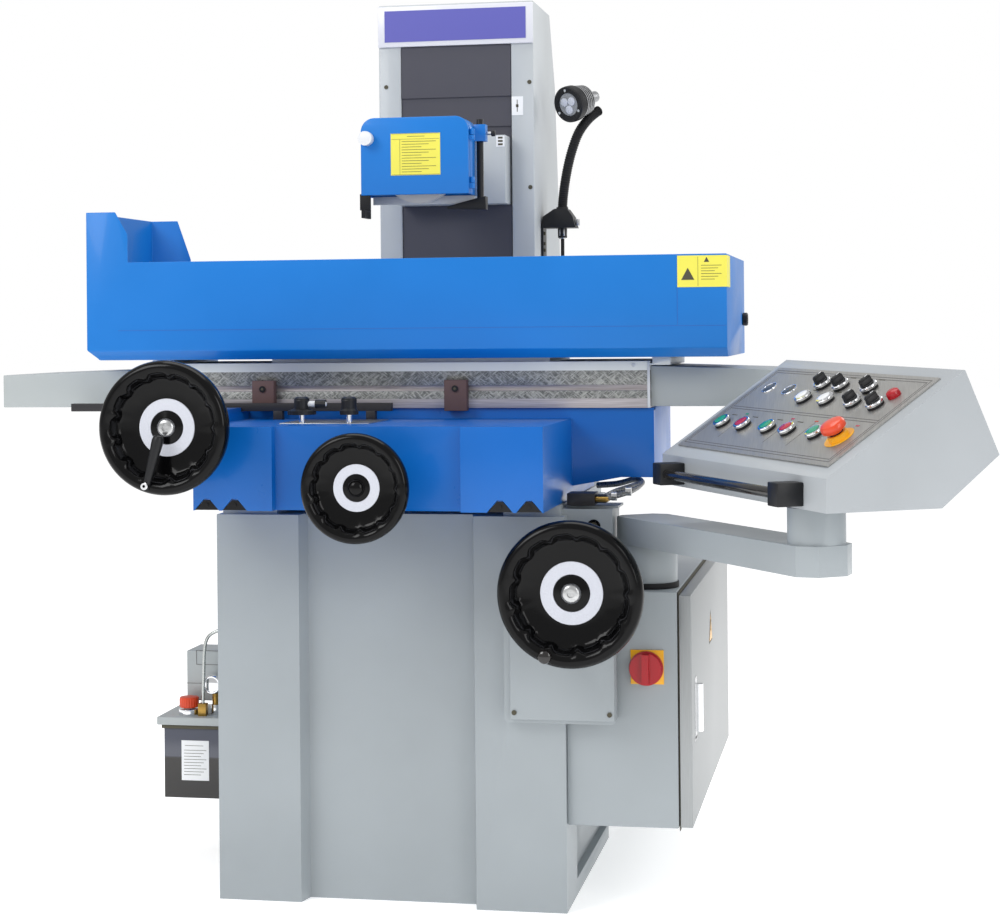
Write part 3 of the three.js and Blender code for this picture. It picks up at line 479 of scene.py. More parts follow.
AXES = {
    "x": (Vector((0, 1, 0)), Vector((0, 0, 1)), Vector((1, 0, 0))),
    "y": (Vector((1, 0, 0)), Vector((0, 0, 1)), Vector((0, 1, 0))),
    "z": (Vector((1, 0, 0)), Vector((0, 1, 0)), Vector((0, 0, 1))),
}


def lathe(bm, origin, axes, profile, segments=48, part=0, shape=None):
    """Turns a profile of (radius, place) about an axis. shape(angle, radius, place) may bend it."""
    across, over, along = axes if isinstance(axes, tuple) else AXES[axes]
    rings = []
    for radius, place in profile:
        if radius <= 1e-6:
            rings.append([bm.verts.new(origin + along * place / 1000)])
            continue
        ring = []
        for i in range(segments):
            angle = TAU * i / segments
            r, p = shape(angle, radius, place) if shape else (radius, place)
            spoke = across * math.cos(angle) + over * math.sin(angle)
            ring.append(bm.verts.new(origin + (spoke * r + along * p) / 1000))
        rings.append(ring)
    for low, high in zip(rings, rings[1:]):
        for i in range(segments):
            j = (i + 1) % segments
            if len(low) == 1 and len(high) == 1:
                continue
            if len(low) == 1:
                corners = [low[0], high[j], high[i]]
            elif len(high) == 1:
                corners = [low[i], low[j], high[0]]
            else:
                corners = [low[i], low[j], high[j], high[i]]
            bm.faces.new(corners).material_index = part


def rod(bm, origin, axes, radius, start, end, segments=24, part=0, chamfer=0.0):
    profile = [(0, start), (radius, start), (radius, end), (0, end)]
    if chamfer:
        inner, low, high = radius - chamfer, start + chamfer, end - chamfer
        profile = [(0, start), (inner, start), (radius, low), (radius, high), (inner, end), (0, end)]
    lathe(bm, origin, axes, profile, segments, part)


def smooth_line(points, count):
    """Points along a Catmull-Rom curve through the given ones."""
    ends = [2 * points[0] - points[1]] + points + [2 * points[-1] - points[-2]]
    out = []
    for i in range(count + 1):
        t = i / count * (len(points) - 1)
        k = min(int(t), len(points) - 2)
        u = t - k
        a, b, c, d = ends[k : k + 4]
        square = (2 * a - 5 * b + 4 * c - d) * u**2
        cube = (3 * b - a - 3 * c + d) * u**3
        out.append(0.5 * ((2 * b) + (c - a) * u + square + cube))
    return out


def sweep(bm, line, radius, sides=14, part=0):
    """A tube along a line. radius is in millimetres, or a function of how far along a ring is."""
    across = None
    rings = []
    for i, point in enumerate(line):
        ahead = (line[min(i + 1, len(line) - 1)] - line[max(i - 1, 0)]).normalized()
        if across is None:
            across = ahead.orthogonal().normalized()
        across = (across - ahead * across.dot(ahead)).normalized()
        over = ahead.cross(across)
        r = (radius(i / (len(line) - 1)) if callable(radius) else radius) / 1000
        turns = [TAU * k / sides for k in range(sides)]
        rings.append([bm.verts.new(point + (across * math.cos(a) + over * math.sin(a)) * r) for a in turns])
    for low, high in zip(rings, rings[1:]):
        for i in range(sides):
            j = (i + 1) % sides
            bm.faces.new([low[i], low[j], high[j], high[i]]).material_index = part
    bm.faces.new(rings[0][::-1]).material_index = part
    bm.faces.new(rings[-1]).material_index = part


def make(name, body, looks, build, bevel=0.0, **options):
    bm = bmesh.new()
    build(bm)
    return finish_piece(name, to_mesh(name, bm), body, looks, bevel, **options)


# ---------------------------------------------------------------- castings and covers
SKINS = {
    "base_casting": ("grey", 3.0, 3),
    "elevating_gear_cover": ("grey", 2.0, 2),
    "column_casting": ("pale", 2.5, 2),
    "name_plate": ("frame", 1.0, 2),
    "upper_way_cover": ("dark", 0.6, 1),
    "middle_way_cover": ("dark", 0.6, 1),
    "head_way_cover": ("dark", 0.6, 1),
    "lower_way_cover": ("dark", 0.6, 1),
    "saddle_casting": ("deep_blue", 3.0, 3),
    "work_table": ("table", 0.8, 2),
    "magnetic_chuck": ("steel", 1.0, 2),
    "splash_guard": ("blue", 1.2, 2),
    "left_table_cover": ("cover", 1.6, 2),
    "right_table_cover": ("cover", 1.6, 2),
    "left_table_dog": ("brown", 1.2, 2),
    "right_table_dog": ("brown", 1.2, 2),
    "head_casting": ("pale", 2.0, 2),
    "wheel_guard": ("blue", 1.5, 2),
    "guard_cover": ("blue", 1.5, 3),
    "electrical_cabinet": ("grey", 2.0, 2),
    "cabinet_door": ("door", 1.5, 2),
    "arm_post": ("grey", 2.0, 2),
    "swing_arm": ("grey", 5.0, 3),
    "pendant_console": ("pendant", 4.0, 3),
    "pendant_panel": ("panel", 0.4, 1),
    "lamp_mount": ("black", 1.5, 2),
    "lubricator_tank": ("tank", 2.0, 2),
    "lubricator_pump": ("cover", 2.0, 2),
    "coolant_nozzle": ("black", 0.8, 2),
    "folding_crank_handle": ("black", 1.5, 3),
}
for node, (look, bevel, segments) in SKINS.items():
    skin(node, look, bevel, segments)

PLAIN = {
    "elevating_screw": "steel",
    "spindle": "steel",
    "grinding_wheel": "grit",
    "lamp_cable": "rubber",
    "reverse_lever": "black",
    "throttle_knob": "black",
    "guard_cover_knob": "white",
    "door_lock_handle": "chrome",
    "main_switch_knob": "bright_red",
    "emergency_stop": "orange",
    "filler_cap": "cap",
    **{f"green_button_{i}": "green" for i in (1, 2, 3)},
    **{f"red_button_{i}": "red" for i in (1, 2)},
    **{f"white_button_{i}": "white" for i in (1, 2)},
    **{f"selector_{i}": "black" for i in range(1, 6)},
}
for node, look in PLAIN.items():
    piece = frame["nodes"][node]
    piece.data.materials.clear()
    piece.data.materials.append(LOOKS[look][0])


# ---------------------------------------------------------------- handwheels
RIM_LOBES = 13
LOBE_REACH, LOBE_DEPTH = 97, 9
# The dish is drawn at this radius and scaled to each wheel.
DISH_RADIUS = 125
DISH = [
    (17, -6), (30, -3), (31.5, 0), (54, 0), (60, -0.5), (84, -3), (91, -6), (96, -14), (100, -24),
    (104, -31), (111, -34), (118, -32.5), (123, -27), (125, -19), (124.5, -10), (121, -3), (114, 2),
    (100, 5), (60, 11), (34, 15), (30, 40), (12.5, 41),
]  # fmt: skip
RING = [(31.5, 0), (32, -1.4), (53.5, -1.4), (54, 0)]
DOME = [(0, -18), (9, -17), (16, -13), (20, -7), (21, 0)]
BOSS = [(0, -9), (6, -9), (6.5, -13), (12, -13), (16, -10), (18, -5), (18, 0)]


def handwheel(name, body, node, x, z, hub, radius, shaft_end, domed):
    """Deep enamel dish with lobes inside the rim, a silver ring and a hub cap or a shaft end."""
    k = radius / DISH_RADIUS

    def lobed(angle, r, place):
        share = max(0.0, 1 - abs(r / k - LOBE_REACH) / LOBE_DEPTH)
        return r - LOBE_DEPTH * k * share * max(0.0, math.cos(RIM_LOBES * angle)) ** 1.6, place

    def build(bm):
        origin = mm(x, hub, z)
        lathe(bm, origin, "y", [(r * k, p * k) for r, p in DISH], 12 * RIM_LOBES, 0, lobed)
        lathe(bm, origin, "y", [(r * k, p) for r, p in RING], 64, 1)
        middle, part = (DOME, 0) if domed else (BOSS, 2)
        lathe(bm, origin, "y", [(r * k, p * k) for r, p in middle], 40, part)
        rod(bm, origin, "y", 12, 40 * k, shaft_end - hub, 32, 2)

    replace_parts(make(name, body, ["enamel", "ring", "steel"], build, crease=40), node)


# Each wheel's axis (x, z), ring face, radius and the back end of its shaft.
ELEVATING = (356, 587.5, -140, 126.5, 0)
CROSS = (0, 772, -225, 94.5, 430)
TABLE = (-331, 876, -243, 116, 196)
handwheel("elevating_wheel_look", "elevating_wheel", "elevating_handwheel", *ELEVATING, False)
handwheel("cross_wheel_look", "cross_wheel", "cross_handwheel", *CROSS, True)
handwheel("table_wheel_look", "table_wheel", "longitudinal_handwheel", *TABLE, False)


def on_rim(wheel, turn, reach, front):
    """The point at a turn in degrees and a reach from a wheel's axis."""
    angle = math.radians(turn)
    return mm(wheel[0] + reach * math.sin(angle), front, wheel[1] + reach * math.cos(angle))


def rim_cap(bm):
    """Black cap where a folding handle could be screwed in."""
    cap = [(0, -9), (7, -8.4), (10.5, -6), (12, -2), (12, 6), (9, 9)]
    lathe(bm, on_rim(ELEVATING, -158, 113, -174), "y", cap, 32)


make("rim_cap", "elevating_wheel", "gloss_black", rim_cap)


def handle_pivot(bm):
    profile = [(2.5, -10.5), (2.5, -13), (5.5, -13), (6.3, -12), (6.3, 4), (0, 4)]
    lathe(bm, on_rim(TABLE, -164.7, 102, -275), "y", profile, 28)


make("crank_pivot", "crank_handle", "chrome", handle_pivot)


# ---------------------------------------------------------------- table, splash guard and saddle
def ink_lines(bm, x0, x1, y, rows, part):
    """Plain lines standing for print: each row is its height and its share of the width."""
    for z, width in rows:
        block(bm, x0, x0 + (x1 - x0) * width, y - 0.25, y, z - 0.45, z + 0.45, part)


TRAY_FRONT = 95
TRAY_RIGHT = 608
TRAY_SEAM = 1043
LABEL_FOOT, LABEL_HEAD = 1113, 1170


def warning_label(bm):
    """Yellow label wrapped round the tray's right corner, with plain signs and lines."""
    block(bm, 519, TRAY_RIGHT, 94.4, TRAY_FRONT, LABEL_FOOT, LABEL_HEAD)
    block(bm, TRAY_RIGHT, 608.6, 94.4, 170, LABEL_FOOT, LABEL_HEAD)
    block(bm, 556, 556.6, 94.2, 94.5, 1115, 1168, 1)
    triangle = [bm.verts.new(mm(x, 94.2, z)) for x, z in ((567, 1158), (577, 1158), (572, 1167))]
    bm.faces.new(triangle).material_index = 1
    sign = [bm.verts.new(mm(x, 94.2, z)) for x, z in ((526, 1126), (550, 1126), (538, 1148))]
    bm.faces.new(sign).material_index = 1
    ink_lines(bm, 562, 603, 94.4, [(1152 - 5 * i, 0.9 - 0.15 * (i % 3)) for i in range(6)], 1)


make("splash_label", "table", ["yellow", "ink"], warning_label)


def splash_seams(bm):
    block(bm, -545, 518, 94.6, TRAY_FRONT, TRAY_SEAM, 1044.2)
    block(bm, 518, 519, 94.6, TRAY_FRONT, TRAY_SEAM, LABEL_FOOT)
    block(bm, 520, 607, 94.6, TRAY_FRONT, TRAY_SEAM, 1044.2)


make("splash_seams", "table", "seam", splash_seams)


def tray_knob(bm):
    rod(bm, mm(TRAY_RIGHT, 500, 1055), "x", 13, 0, 11, 28, chamfer=2)


make("tray_knob", "table", "black", tray_knob)


def table_trim(bm):
    """Strip at the table's right end, block under the tray's left end and two screws."""
    block(bm, 455, 460.2, 163.6, 165, 893, 979)
    block(bm, -497, -461, 150.5, 165, 979, 986)
    for x in (-430, 430):
        rod(bm, mm(x, 163.5, 972), "y", 4, 0, 2, 16)


make("table_trim", "table", "bright_cover", table_trim, 0.8)


def dog_bolt(bm, x):
    place = mm(x, 145, 930)
    rod(bm, place, "y", 6, -3.5, 1, 20, 0, 0.6)
    rod(bm, place, "y", 2.6, -3.9, -3.2, 6, 1)


for side, x in (("left", -276), ("right", 97)):
    make(f"{side}_dog_bolt", f"{side}_dog", ["black", "ink"], lambda bm: dog_bolt(bm, x))


def trip_bar(bm):
    block(bm, -652, -20, 122, 138, 889, 904)
    for x in (-240, -60):
        block(bm, x - 9, x + 9, 122, 138, 872, 890)


make("trip_bar", "saddle", "dark_iron", trip_bar, 1.0)
make("lever_plate", "saddle", "steel", lambda bm: block(bm, -186, -20, -52, 100, 872.5, 874.6), 0.6)

LEVER_Y = -30
LEVER_LOOKS = ["chrome", "black", "pearl"]


def lever_trim(bm, x, handle):
    """Bright stem and domed top of a lever, and the pale end of its handle where it has one."""
    rod(bm, mm(x, LEVER_Y, 0), "z", 5.6, 874.8, 889.4, 24, 0)
    profile = [(0, 921), (9, 921), (13, 918.5), (14.6, 914)]
    lathe(bm, mm(x, LEVER_Y, 0), "z", profile, 28, 1)
    if handle:
        rod(bm, mm(0, LEVER_Y, 908), "x", 5.6, -139, -108, 20, 2)
        lathe(bm, mm(-108, LEVER_Y, 908), "x", [(5.6, 0), (5.3, 2), (3.5, 4), (0, 5)], 20, 2)


make("reverse_lever_trim", "reverse_lever", LEVER_LOOKS, lambda bm: lever_trim(bm, -150, True))
make("throttle_trim", "throttle", LEVER_LOOKS, lambda bm: lever_trim(bm, -62, False))

WAY_CENTRES = [side * 262 + half * 25.5 for side in (-1, 1) for half in (-1, 1)]


def way_wipers(bm):
    """Rubber wipers filling the V notches at the saddle's front."""
    for centre in WAY_CENTRES:
        corners = [(centre - 22, 727), (centre + 22, 727), (centre + 5, 744.5), (centre - 5, 744.5)]
        rings = [[bm.verts.new(mm(x, y, z)) for x, z in corners] for y in (-161, -156)]
        bm.faces.new(rings[0])
        bm.faces.new(rings[1][::-1])
        for i in range(4):
            j = (i + 1) % 4
            bm.faces.new([rings[0][i], rings[0][j], rings[1][j], rings[1][i]])
        rod(bm, mm(centre, -161, 736), "y", 3.2, -2.5, 1, 14)


make("way_wipers", "saddle", "rubber", way_wipers)


def oil_manifold(bm):
    block(bm, 322, 372, 40, 92, 722, 744)
    block(bm, 372, 392, 52, 80, 726, 740)
    for y in (50, 66, 82):
        rod(bm, mm(372, y, 733), "x", 5, 0, 24, 16, 1)


make("oil_manifold", "saddle", ["dark_iron", "brass"], oil_manifold, 1.0)


def oil_hoses(bm):
    """Two braided hoses that curve back under the saddle's right wing, with a ferrule each."""
    for lift, y in ((0, 62), (7, 76)):
        line = [
            mm(382, y, 733), mm(404, y + 10, 737 + lift), mm(430, y + 50, 744 + lift),
            mm(440, y + 120, 752), mm(420, y + 190, 754), mm(380, y + 240, 742), mm(340, y + 250, 738),
        ]  # fmt: skip
        sweep(bm, smooth_line(line, 60), 5.5, 12)
    for x, z in ((404, 737), (430, 746)):
        rod(bm, mm(x, 70, z), "x", 8, -5, 5, 18, 1)


make("oil_hoses", "saddle", ["braid", "steel"], oil_hoses)


def base_trim(bm):
    """Port on the valve block, the screws of the gear cover and the plate under the manifold."""
    port = mm(371, 40, 686)
    lathe(bm, port, "y", [(0, -2), (7, -2), (7.5, -6), (12, -6), (13, -3), (13, 0)], 28, 0)
    lathe(bm, port, "y", [(0, -3.4), (6.8, -3.4)], 28, 1)
    for x, z in ((236, 362), (406, 362), (236, 616)):
        rod(bm, mm(x, -38.3, z), "y", 4.4, -1.6, 1, 20, 1)
    block(bm, 318, 412, 60, 138, 716, 720, 2)


make("base_trim", "base", ["chrome", "ink", "grey"], base_trim)


def rear_cover(bm):
    """Plain access cover with six screws on the back of the base."""
    back = (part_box("base_casting")[1][1] - ZERO_Y) * 1000
    block(bm, -163, 137, back - 1, back + 3, 180, 620, 0)
    for x in (-150, 124):
        for z in (193, 400, 607):
            rod(bm, mm(x, back + 3, z), "y", 5.5, -1, 2.4, 20, 1)


make("rear_cover", "base", ["grey", "ink"], rear_cover, 1.0)


# ---------------------------------------------------------------- column and wheel head
def column_trim(bm):
    """Violet field of the name plate, screws and one small label."""
    block(bm, -167, 141, 712.6, 714.2, 1658.5, 1725.5, 0)
    for x, z in ((-166, 1563), (147, 1565), (147, 1341), (-166, 1341)):
        rod(bm, mm(x, 720, z), "y", 4.6, -0.8, 0.5, 20, 1)
    block(bm, 108.5, 133, 719.2, 720, 1495, 1535, 2)
    block(bm, 119.5, 121, 718.9, 719.3, 1502, 1528, 1)
    block(bm, 117.5, 123, 718.9, 719.3, 1512, 1518, 1)


make("column_trim", "base", ["violet", "ink", "paper"], column_trim)


def head_trim(bm):
    block(bm, 84, 102, 664.2, 665, 1424, 1447, 0)
    for i in range(3):
        block(bm, 88, 98, 663.9, 664.3, 1427 + 7 * i, 1431 + 7 * i, 1)


make("head_label", "head", ["paper", "ink"], head_trim)


def cover_label(bm):
    """Yellow label with a ruled border, a ruled column and plain lines."""
    block(bm, -63, 36, 319.3, 320, 1343, 1425)
    for x0, x1, z0, z1 in (
        (-61.5, 34.5, 1424, 1424.5),
        (-61.5, 34.5, 1344, 1344.5),
        (-45, -44.5, 1344, 1414),
        (-61.5, 34.5, 1413.5, 1414),
    ):
        block(bm, x0, x1, 319.0, 319.4, z0, z1, 1)
    for i in range(12):
        width = 0.95 - 0.2 * (i % 3)
        ink_lines(bm, -41, 31, 319.3, [(1409 - 5.4 * i, width)], 1)
    ink_lines(bm, -30, 5, 319.3, [(1419, 1)], 1)


make("cover_label", "guard_cover", ["yellow", "ink"], cover_label)


HINGE_X, HINGE_Y = 97, 334


def cover_hinge(bm):
    """The cover's halves of its two hinges."""
    for low, high in ((1410, 1420), (1315, 1326)):
        rod(bm, mm(HINGE_X, HINGE_Y, 0), "z", 5.2, low, high, 20, 0, 0.5)
        block(bm, 84, HINGE_X, 329, 331.5, low, high, 0)


make("cover_hinge", "guard_cover", "blue", cover_hinge, 0.3)


def guard_trim(bm):
    """Hinge halves, clamp screw, flap with its screws and the pale plate under the guard."""
    for low, high in ((1420.5, 1432), (1326.5, 1338)):
        rod(bm, mm(HINGE_X, HINGE_Y, 0), "z", 5.2, low, high, 20, 0, 0.5)
        block(bm, 91, HINGE_X, HINGE_Y, 342, low, high, 0)
    rod(bm, mm(114, 395, 1428), "x", 3, -1, 10, 16, 1)
    rod(bm, mm(124, 395, 1428), "x", 6.5, 0, 8, 20, 2, 1)
    block(bm, -129, -121.5, 341, 392, 1262, 1312, 2)
    for z, reach in ((1337, 7), (1304, 8)):
        rod(bm, mm(-124, 366, z), "x", 8, -reach, 1, 20, 2, 1)
    block(bm, -118, 88, 396, 401, 1290, 1306, 3)


make("guard_trim", "head", ["blue", "steel", "black", "bright_cover"], guard_trim, 0.4)
make("cover_flap", "guard_cover", "rubber", lambda bm: block(bm, -127, -106, 322, 326, 1276, 1308), 0.6)


def knob_rim(bm):
    profile = [(0, 299.6), (10, 299.8), (13, 301), (14.2, 303.5), (14.2, 311), (13, 313)]
    lathe(bm, mm(-111, 0, 1416), "y", profile, 36)


make("knob_rim", "guard_knob", "white", knob_rim)


# ---------------------------------------------------------------- cabinet and swing arm
CABINET_POST = mm(463, 90, 0)
CONSOLE_POST = mm(779, -367, 0)
DOOR_FACE = 546


def cabinet_trim(bm):
    """Amber switch plate, a dark sheet behind the door as painted shade in the gap round it, and a seal and
    a grey sleeve round the post.
    """
    block(bm, 438, 497, 8.9, 12, 409.5, 470, 0)
    # Dark sheet just inside the door, seen through the gap round it: painted shade.
    block(bm, 522.2, 523.4, 14, 860, 150, 572, 1)
    rod(bm, CABINET_POST, "z", 54.5, 573.2, 583.5, 56, 2)
    rod(bm, CABINET_POST, "z", 47, 583, 652, 56, 3)


make("cabinet_trim", "base", ["amber", "ink", "rubber", "grey"], cabinet_trim, 0.6)


def switch_mark(bm):
    block(bm, 464.5, 467.5, -14.4, -13.8, 438, 462)
    rod(bm, mm(466, 0, 438), "y", 30.5, 3.5, 8.6, 48, 0)


make("switch_mark", "main_switch", ["bright_red"], switch_mark)


def door_sign(bm):
    """Amber triangle with a dark border and bolt, and the bright plate behind the lock handle."""

    def triangle(size, lift, part):
        y, z = 415, 448
        corners = [(y - size, z - size * 0.58), (y + size, z - size * 0.58), (y, z + size * 1.15)]
        verts = [bm.verts.new(mm(DOOR_FACE + lift, a, b)) for a, b in corners]
        bm.faces.new(verts).material_index = part

    triangle(36, 0.4, 1)
    triangle(30, 0.6, 0)
    bolt = [(411, 470), (421, 470), (415, 453), (422, 453), (409, 436), (413, 449), (407, 449)]
    bm.faces.new([bm.verts.new(mm(546.8, y, z)) for y, z in bolt]).material_index = 1
    block(bm, DOOR_FACE, 546.8, 62, 108, 300, 306, 2)
    block(bm, DOOR_FACE, 546.8, 70, 101, 302, 412, 2)


make("door_sign", "door", ["amber", "ink", "steel"], door_sign)

# ---------------------------------------------------------------- pendant
CONSOLE_PLACE = mm(798.6, -520, 760)
CONSOLE_YAW = math.radians(-57.8)
CONSOLE_TILT = math.radians(0.985)
# The slope runs from the lip's height at the front up to the crest.
LIP = 52
CREST_Y, CREST_Z = 245.6, 212
PENDANT_TURN = Matrix.Rotation(CONSOLE_YAW, 3, "Z") @ Matrix.Rotation(CONSOLE_TILT, 3, "Y")
SLOPE_TURN = PENDANT_TURN @ Matrix.Rotation(math.atan2(CREST_Z - LIP, CREST_Y), 3, "X")


def on_console(x, y, z):
    return CONSOLE_PLACE + PENDANT_TURN @ Vector((x, y, z)) / 1000


def on_slope(x, y, z):
    return on_console(0, 0, LIP) + SLOPE_TURN @ Vector((x, y, z)) / 1000


SLOPE_AXES = tuple(SLOPE_TURN @ Vector(axis) for axis in ((1, 0, 0), (0, 1, 0), (0, 0, 1)))


def etched_line(bm, x0, y0, x1, y1, part=0, half=0.7):
    """A thin line on the panel, running along its x or its y."""
    low, high = 2.9, 3.25
    if abs(x1 - x0) > abs(y1 - y0):
        patch(bm, on_slope, min(x0, x1), max(x0, x1), y0 - half, y0 + half, low, high, part)
    else:
        patch(bm, on_slope, x0 - half, x0 + half, min(y0, y1), max(y0, y1), low, high, part)


# Controls by row: the row's place up the slope, then how far left of the console's zero each is.
BUTTON_ROWS = {
    95: (475, 402, 317, 251, 164),
    181: (324, 252, 169, 102),
    222: (319, 262, 175),
}
STOP_PLACE = on_slope(-92, 95, 0)


def panel_marks(bm):
    left, right, low, high = -523, -41, 36, 256
    for inset in (0, 6):
        a, b, c, d = left + inset, right - inset, low + inset, high - inset
        etched_line(bm, a, c, b, c)
        etched_line(bm, a, d, b, d)
        etched_line(bm, a, c, a, d)
        etched_line(bm, b, c, b, d)
    etched_line(bm, left + 6, 140, right - 6, 140)
    etched_line(bm, left + 6, 146, right - 6, 146)
    for x in (-438, -284, -208):
        etched_line(bm, x, 60, x, 128, 0, 0.4)
    for y, reaches in BUTTON_ROWS.items():
        for reach in reaches:
            etched_line(bm, -reach - 9, y + 27, -reach + 9, y + 27, 1, 0.9)
    for reach, part in ((440, 2), (284, 3), (208, 3), (84, 3)):
        etched_line(bm, -reach - 5, 128, -reach + 5, 128, part, 1.6)


make("panel_marks", "pendant", ["line", "ink", "green", "red"], panel_marks)


def panel_collars(bm):
    """Collar and bright ring round every control, the three lamps and the stop button's base."""
    for y, reaches in BUTTON_ROWS.items():
        for reach in reaches:
            origin = on_slope(-reach, y, 0)
            collar = [(11.8, 3), (14.6, 3), (14.6, 7.4), (14.2, 7.8), (11.8, 7.8)]
            lathe(bm, origin, SLOPE_AXES, collar, 36, 0)
            outside = [(11.8, 7.6), (14.9, 7.6), (15.5, 8.4), (15.5, 12)]
            top = [(14.5, 13.2), (12, 13.4), (11.8, 12)]
            lathe(bm, origin, SLOPE_AXES, outside + top, 36, 1)
    disc = [(15, 3), (25.5, 3), (26, 3.6), (25.5, 4.2), (15, 4.2)]
    lathe(bm, STOP_PLACE, SLOPE_AXES, disc, 48, 2)
    neck = [(11.8, 4), (17.5, 4), (17, 11), (15.5, 12.4), (11.8, 12.4)]
    lathe(bm, STOP_PLACE, SLOPE_AXES, neck, 40, 2)
    for reach, y in ((477, 204), (407, 203)):
        origin = on_slope(-reach, y, 0)
        lathe(bm, origin, SLOPE_AXES, [(0, 4.4), (12, 4.4), (13.2, 4)], 36, 3)
        lathe(bm, origin, SLOPE_AXES, [(13.2, 3.9), (13.4, 4.8), (14.6, 4.8), (15, 3)], 36, 1)
    pilot = on_slope(-87, 210, 0)
    lathe(bm, pilot, SLOPE_AXES, [(0, 15), (7, 14.5), (10.5, 12), (11.5, 8), (11.5, 3)], 36, 4)


COLLAR_LOOKS = ["black", "chrome", "amber", "smoke", "bright_red"]
make("panel_collars", "pendant", COLLAR_LOOKS, panel_collars, crease=40)


def button_face(bm, reach, y):
    rim = [(0, 14.9), (8.5, 14.7), (10.6, 14.1), (11.1, 12.5)]
    lathe(bm, on_slope(-reach, y, 0), SLOPE_AXES, rim, 32)


BUTTONS = (("green", (475, 317, 164), 95), ("red", (402, 251), 95), ("white", (324, 252), 181))
for kind, reaches, y in BUTTONS:
    for i, reach in enumerate(reaches, 1):
        node = f"{kind}_button_{i}"
        make(node + "_face", node, kind, lambda bm: button_face(bm, reach, y))


def selector_grip(bm, reach, y):
    """Round base with a tapered grip and a white mark on its end."""
    origin = on_slope(-reach, y, 0)
    lathe(bm, origin, SLOPE_AXES, [(0, 15), (10, 15), (11.1, 14), (11.1, 12)], 32, 0)
    place = lambda a, b, c: origin + SLOPE_TURN @ Vector((a, b, c)) / 1000
    wedge = [(-5, -11), (5, -11), (5, 11), (-5, 11)]
    low = [bm.verts.new(place(a, b, 14)) for a, b in wedge]
    high = [bm.verts.new(place(0.55 * a, 0.8 * b, 26)) for a, b in wedge]
    bm.faces.new(low[::-1])
    bm.faces.new(high)
    for side in range(4):
        after = (side + 1) % 4
        bm.faces.new([low[side], low[after], high[after], high[side]])
    patch(bm, place, -0.8, 0.8, 2, 8.6, 25.8, 26.5, 1)


SELECTORS = ((169, 181), (102, 181), (319, 222), (262, 222), (175, 222))
for i, (reach, y) in enumerate(SELECTORS, 1):
    node = f"selector_{i}"
    make(node + "_grip", node, ["black", "white"], lambda bm: selector_grip(bm, reach, y), 1.2)


def stop_head(bm):
    under = [(11, 14), (11, 16.7), (14, 17), (19, 18.3), (20.6, 20)]
    over = [(21, 23), (20.4, 28), (18, 31.2), (12, 33.4), (0, 34.4)]
    lathe(bm, STOP_PLACE, SLOPE_AXES, under + over, 48)


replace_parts(make("stop_head", "emergency_stop", "orange", stop_head), "emergency_stop")


def console_handle(bm):
    """Two end blocks with a gloss bar between them."""
    ends = (-482, -82)
    for middle in ends:
        patch(bm, on_console, middle - 16, middle + 16, -46, 0, 5, 42)
    axes = tuple(PENDANT_TURN @ Vector(axis) for axis in ((0, 1, 0), (0, 0, 1), (1, 0, 0)))
    rod(bm, on_console(0, -34, 24), axes, 8.5, *ends, 28, 1)


HANDLE_LOOKS = ["black", "gloss_black"]
handle = make("console_handle", "pendant", HANDLE_LOOKS, console_handle, 2.0)
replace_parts(handle, "pendant_handle")


def console_trim(bm):
    """Dark collar on the arm's upper post, under the console."""
    rod(bm, CONSOLE_POST, "z", 47.5, 757.5, 760.8, 56, 0)


make("console_trim", "arm", "dark", console_trim)

# ---------------------------------------------------------------- work lamp
LAMP_AT = mm(221, 790, 1522)
LAMP_AHEAD = Vector((-0.512, -0.82, -0.256)).normalized()
LAMP_SIDE = LAMP_AHEAD.cross(Vector((0, 0, 1))).normalized()
LAMP_AXES = (LAMP_SIDE, LAMP_AHEAD.cross(LAMP_SIDE).normalized() * -1, LAMP_AHEAD)


def on_lamp(angle, radius, ahead):
    spoke = LAMP_AXES[0] * math.cos(angle) + LAMP_AXES[1] * math.sin(angle)
    return LAMP_AT + (spoke * radius + LAMP_AHEAD * ahead) / 1000


def lamp_body(bm):
    """Black front ring, finned back, lens, three LEDs and three screws."""
    ring = [(25, -1), (26, 3), (36.5, 4.5), (39, 2), (39.5, -4), (39, -15), (34, -17)]
    lathe(bm, LAMP_AT, LAMP_AXES, ring, 56, 0)
    fins = [(34, -17)]
    for i in range(5):
        low = -20 - 6.6 * i
        reach = 36.5 - 0.9 * i
        fins += [(25, low + 2.4), (25, low), (reach, low - 0.4), (reach, low - 3.4)]
    fins += [(24, -54), (20, -57), (15, -60), (13, -72), (12, -92), (0, -92)]
    lathe(bm, LAMP_AT, LAMP_AXES, fins, 48, 1)
    lathe(bm, LAMP_AT, LAMP_AXES, [(0, 1.4), (24.5, 1.4), (26, 0)], 48, 2)
    for i in range(3):
        angle = TAU * i / 3 + 0.5
        lathe(bm, on_lamp(angle, 11.5, 1), LAMP_AXES, [(9.5, 0), (9, 2.2), (6, 3.2), (0, 3.4)], 24, 3)
        lathe(bm, on_lamp(angle + 1.05, 31, 3.4), LAMP_AXES, [(3.2, 0), (3, 1.6), (0, 1.8)], 16, 4)


LAMP_LOOKS = ["black", "fin_steel", "lens", "led", "chrome"]
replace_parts(make("lamp_body", "lamp", LAMP_LOOKS, lamp_body), "lamp_head")

NECK_RIBS = 62
NECK_X, NECK_Y = 200, 820
NECK_BEND_FROM = mm(203, NECK_Y, 1331)
NECK_BEND_TO = mm(236, 824, 1462)


def gooseneck(bm):
    points = [
        mm(NECK_X, NECK_Y, 1296), NECK_BEND_FROM, mm(210, NECK_Y, 1375), mm(221, NECK_Y, 1420),
        NECK_BEND_TO, mm(255, 836, 1492), mm(271, 851, 1509), mm(277, 858, 1514),
    ]  # fmt: skip
    line = smooth_line(points, NECK_RIBS * 4)
    sweep(bm, line, lambda part: 10.2 + 0.8 * math.sin(TAU * NECK_RIBS * part), 16)


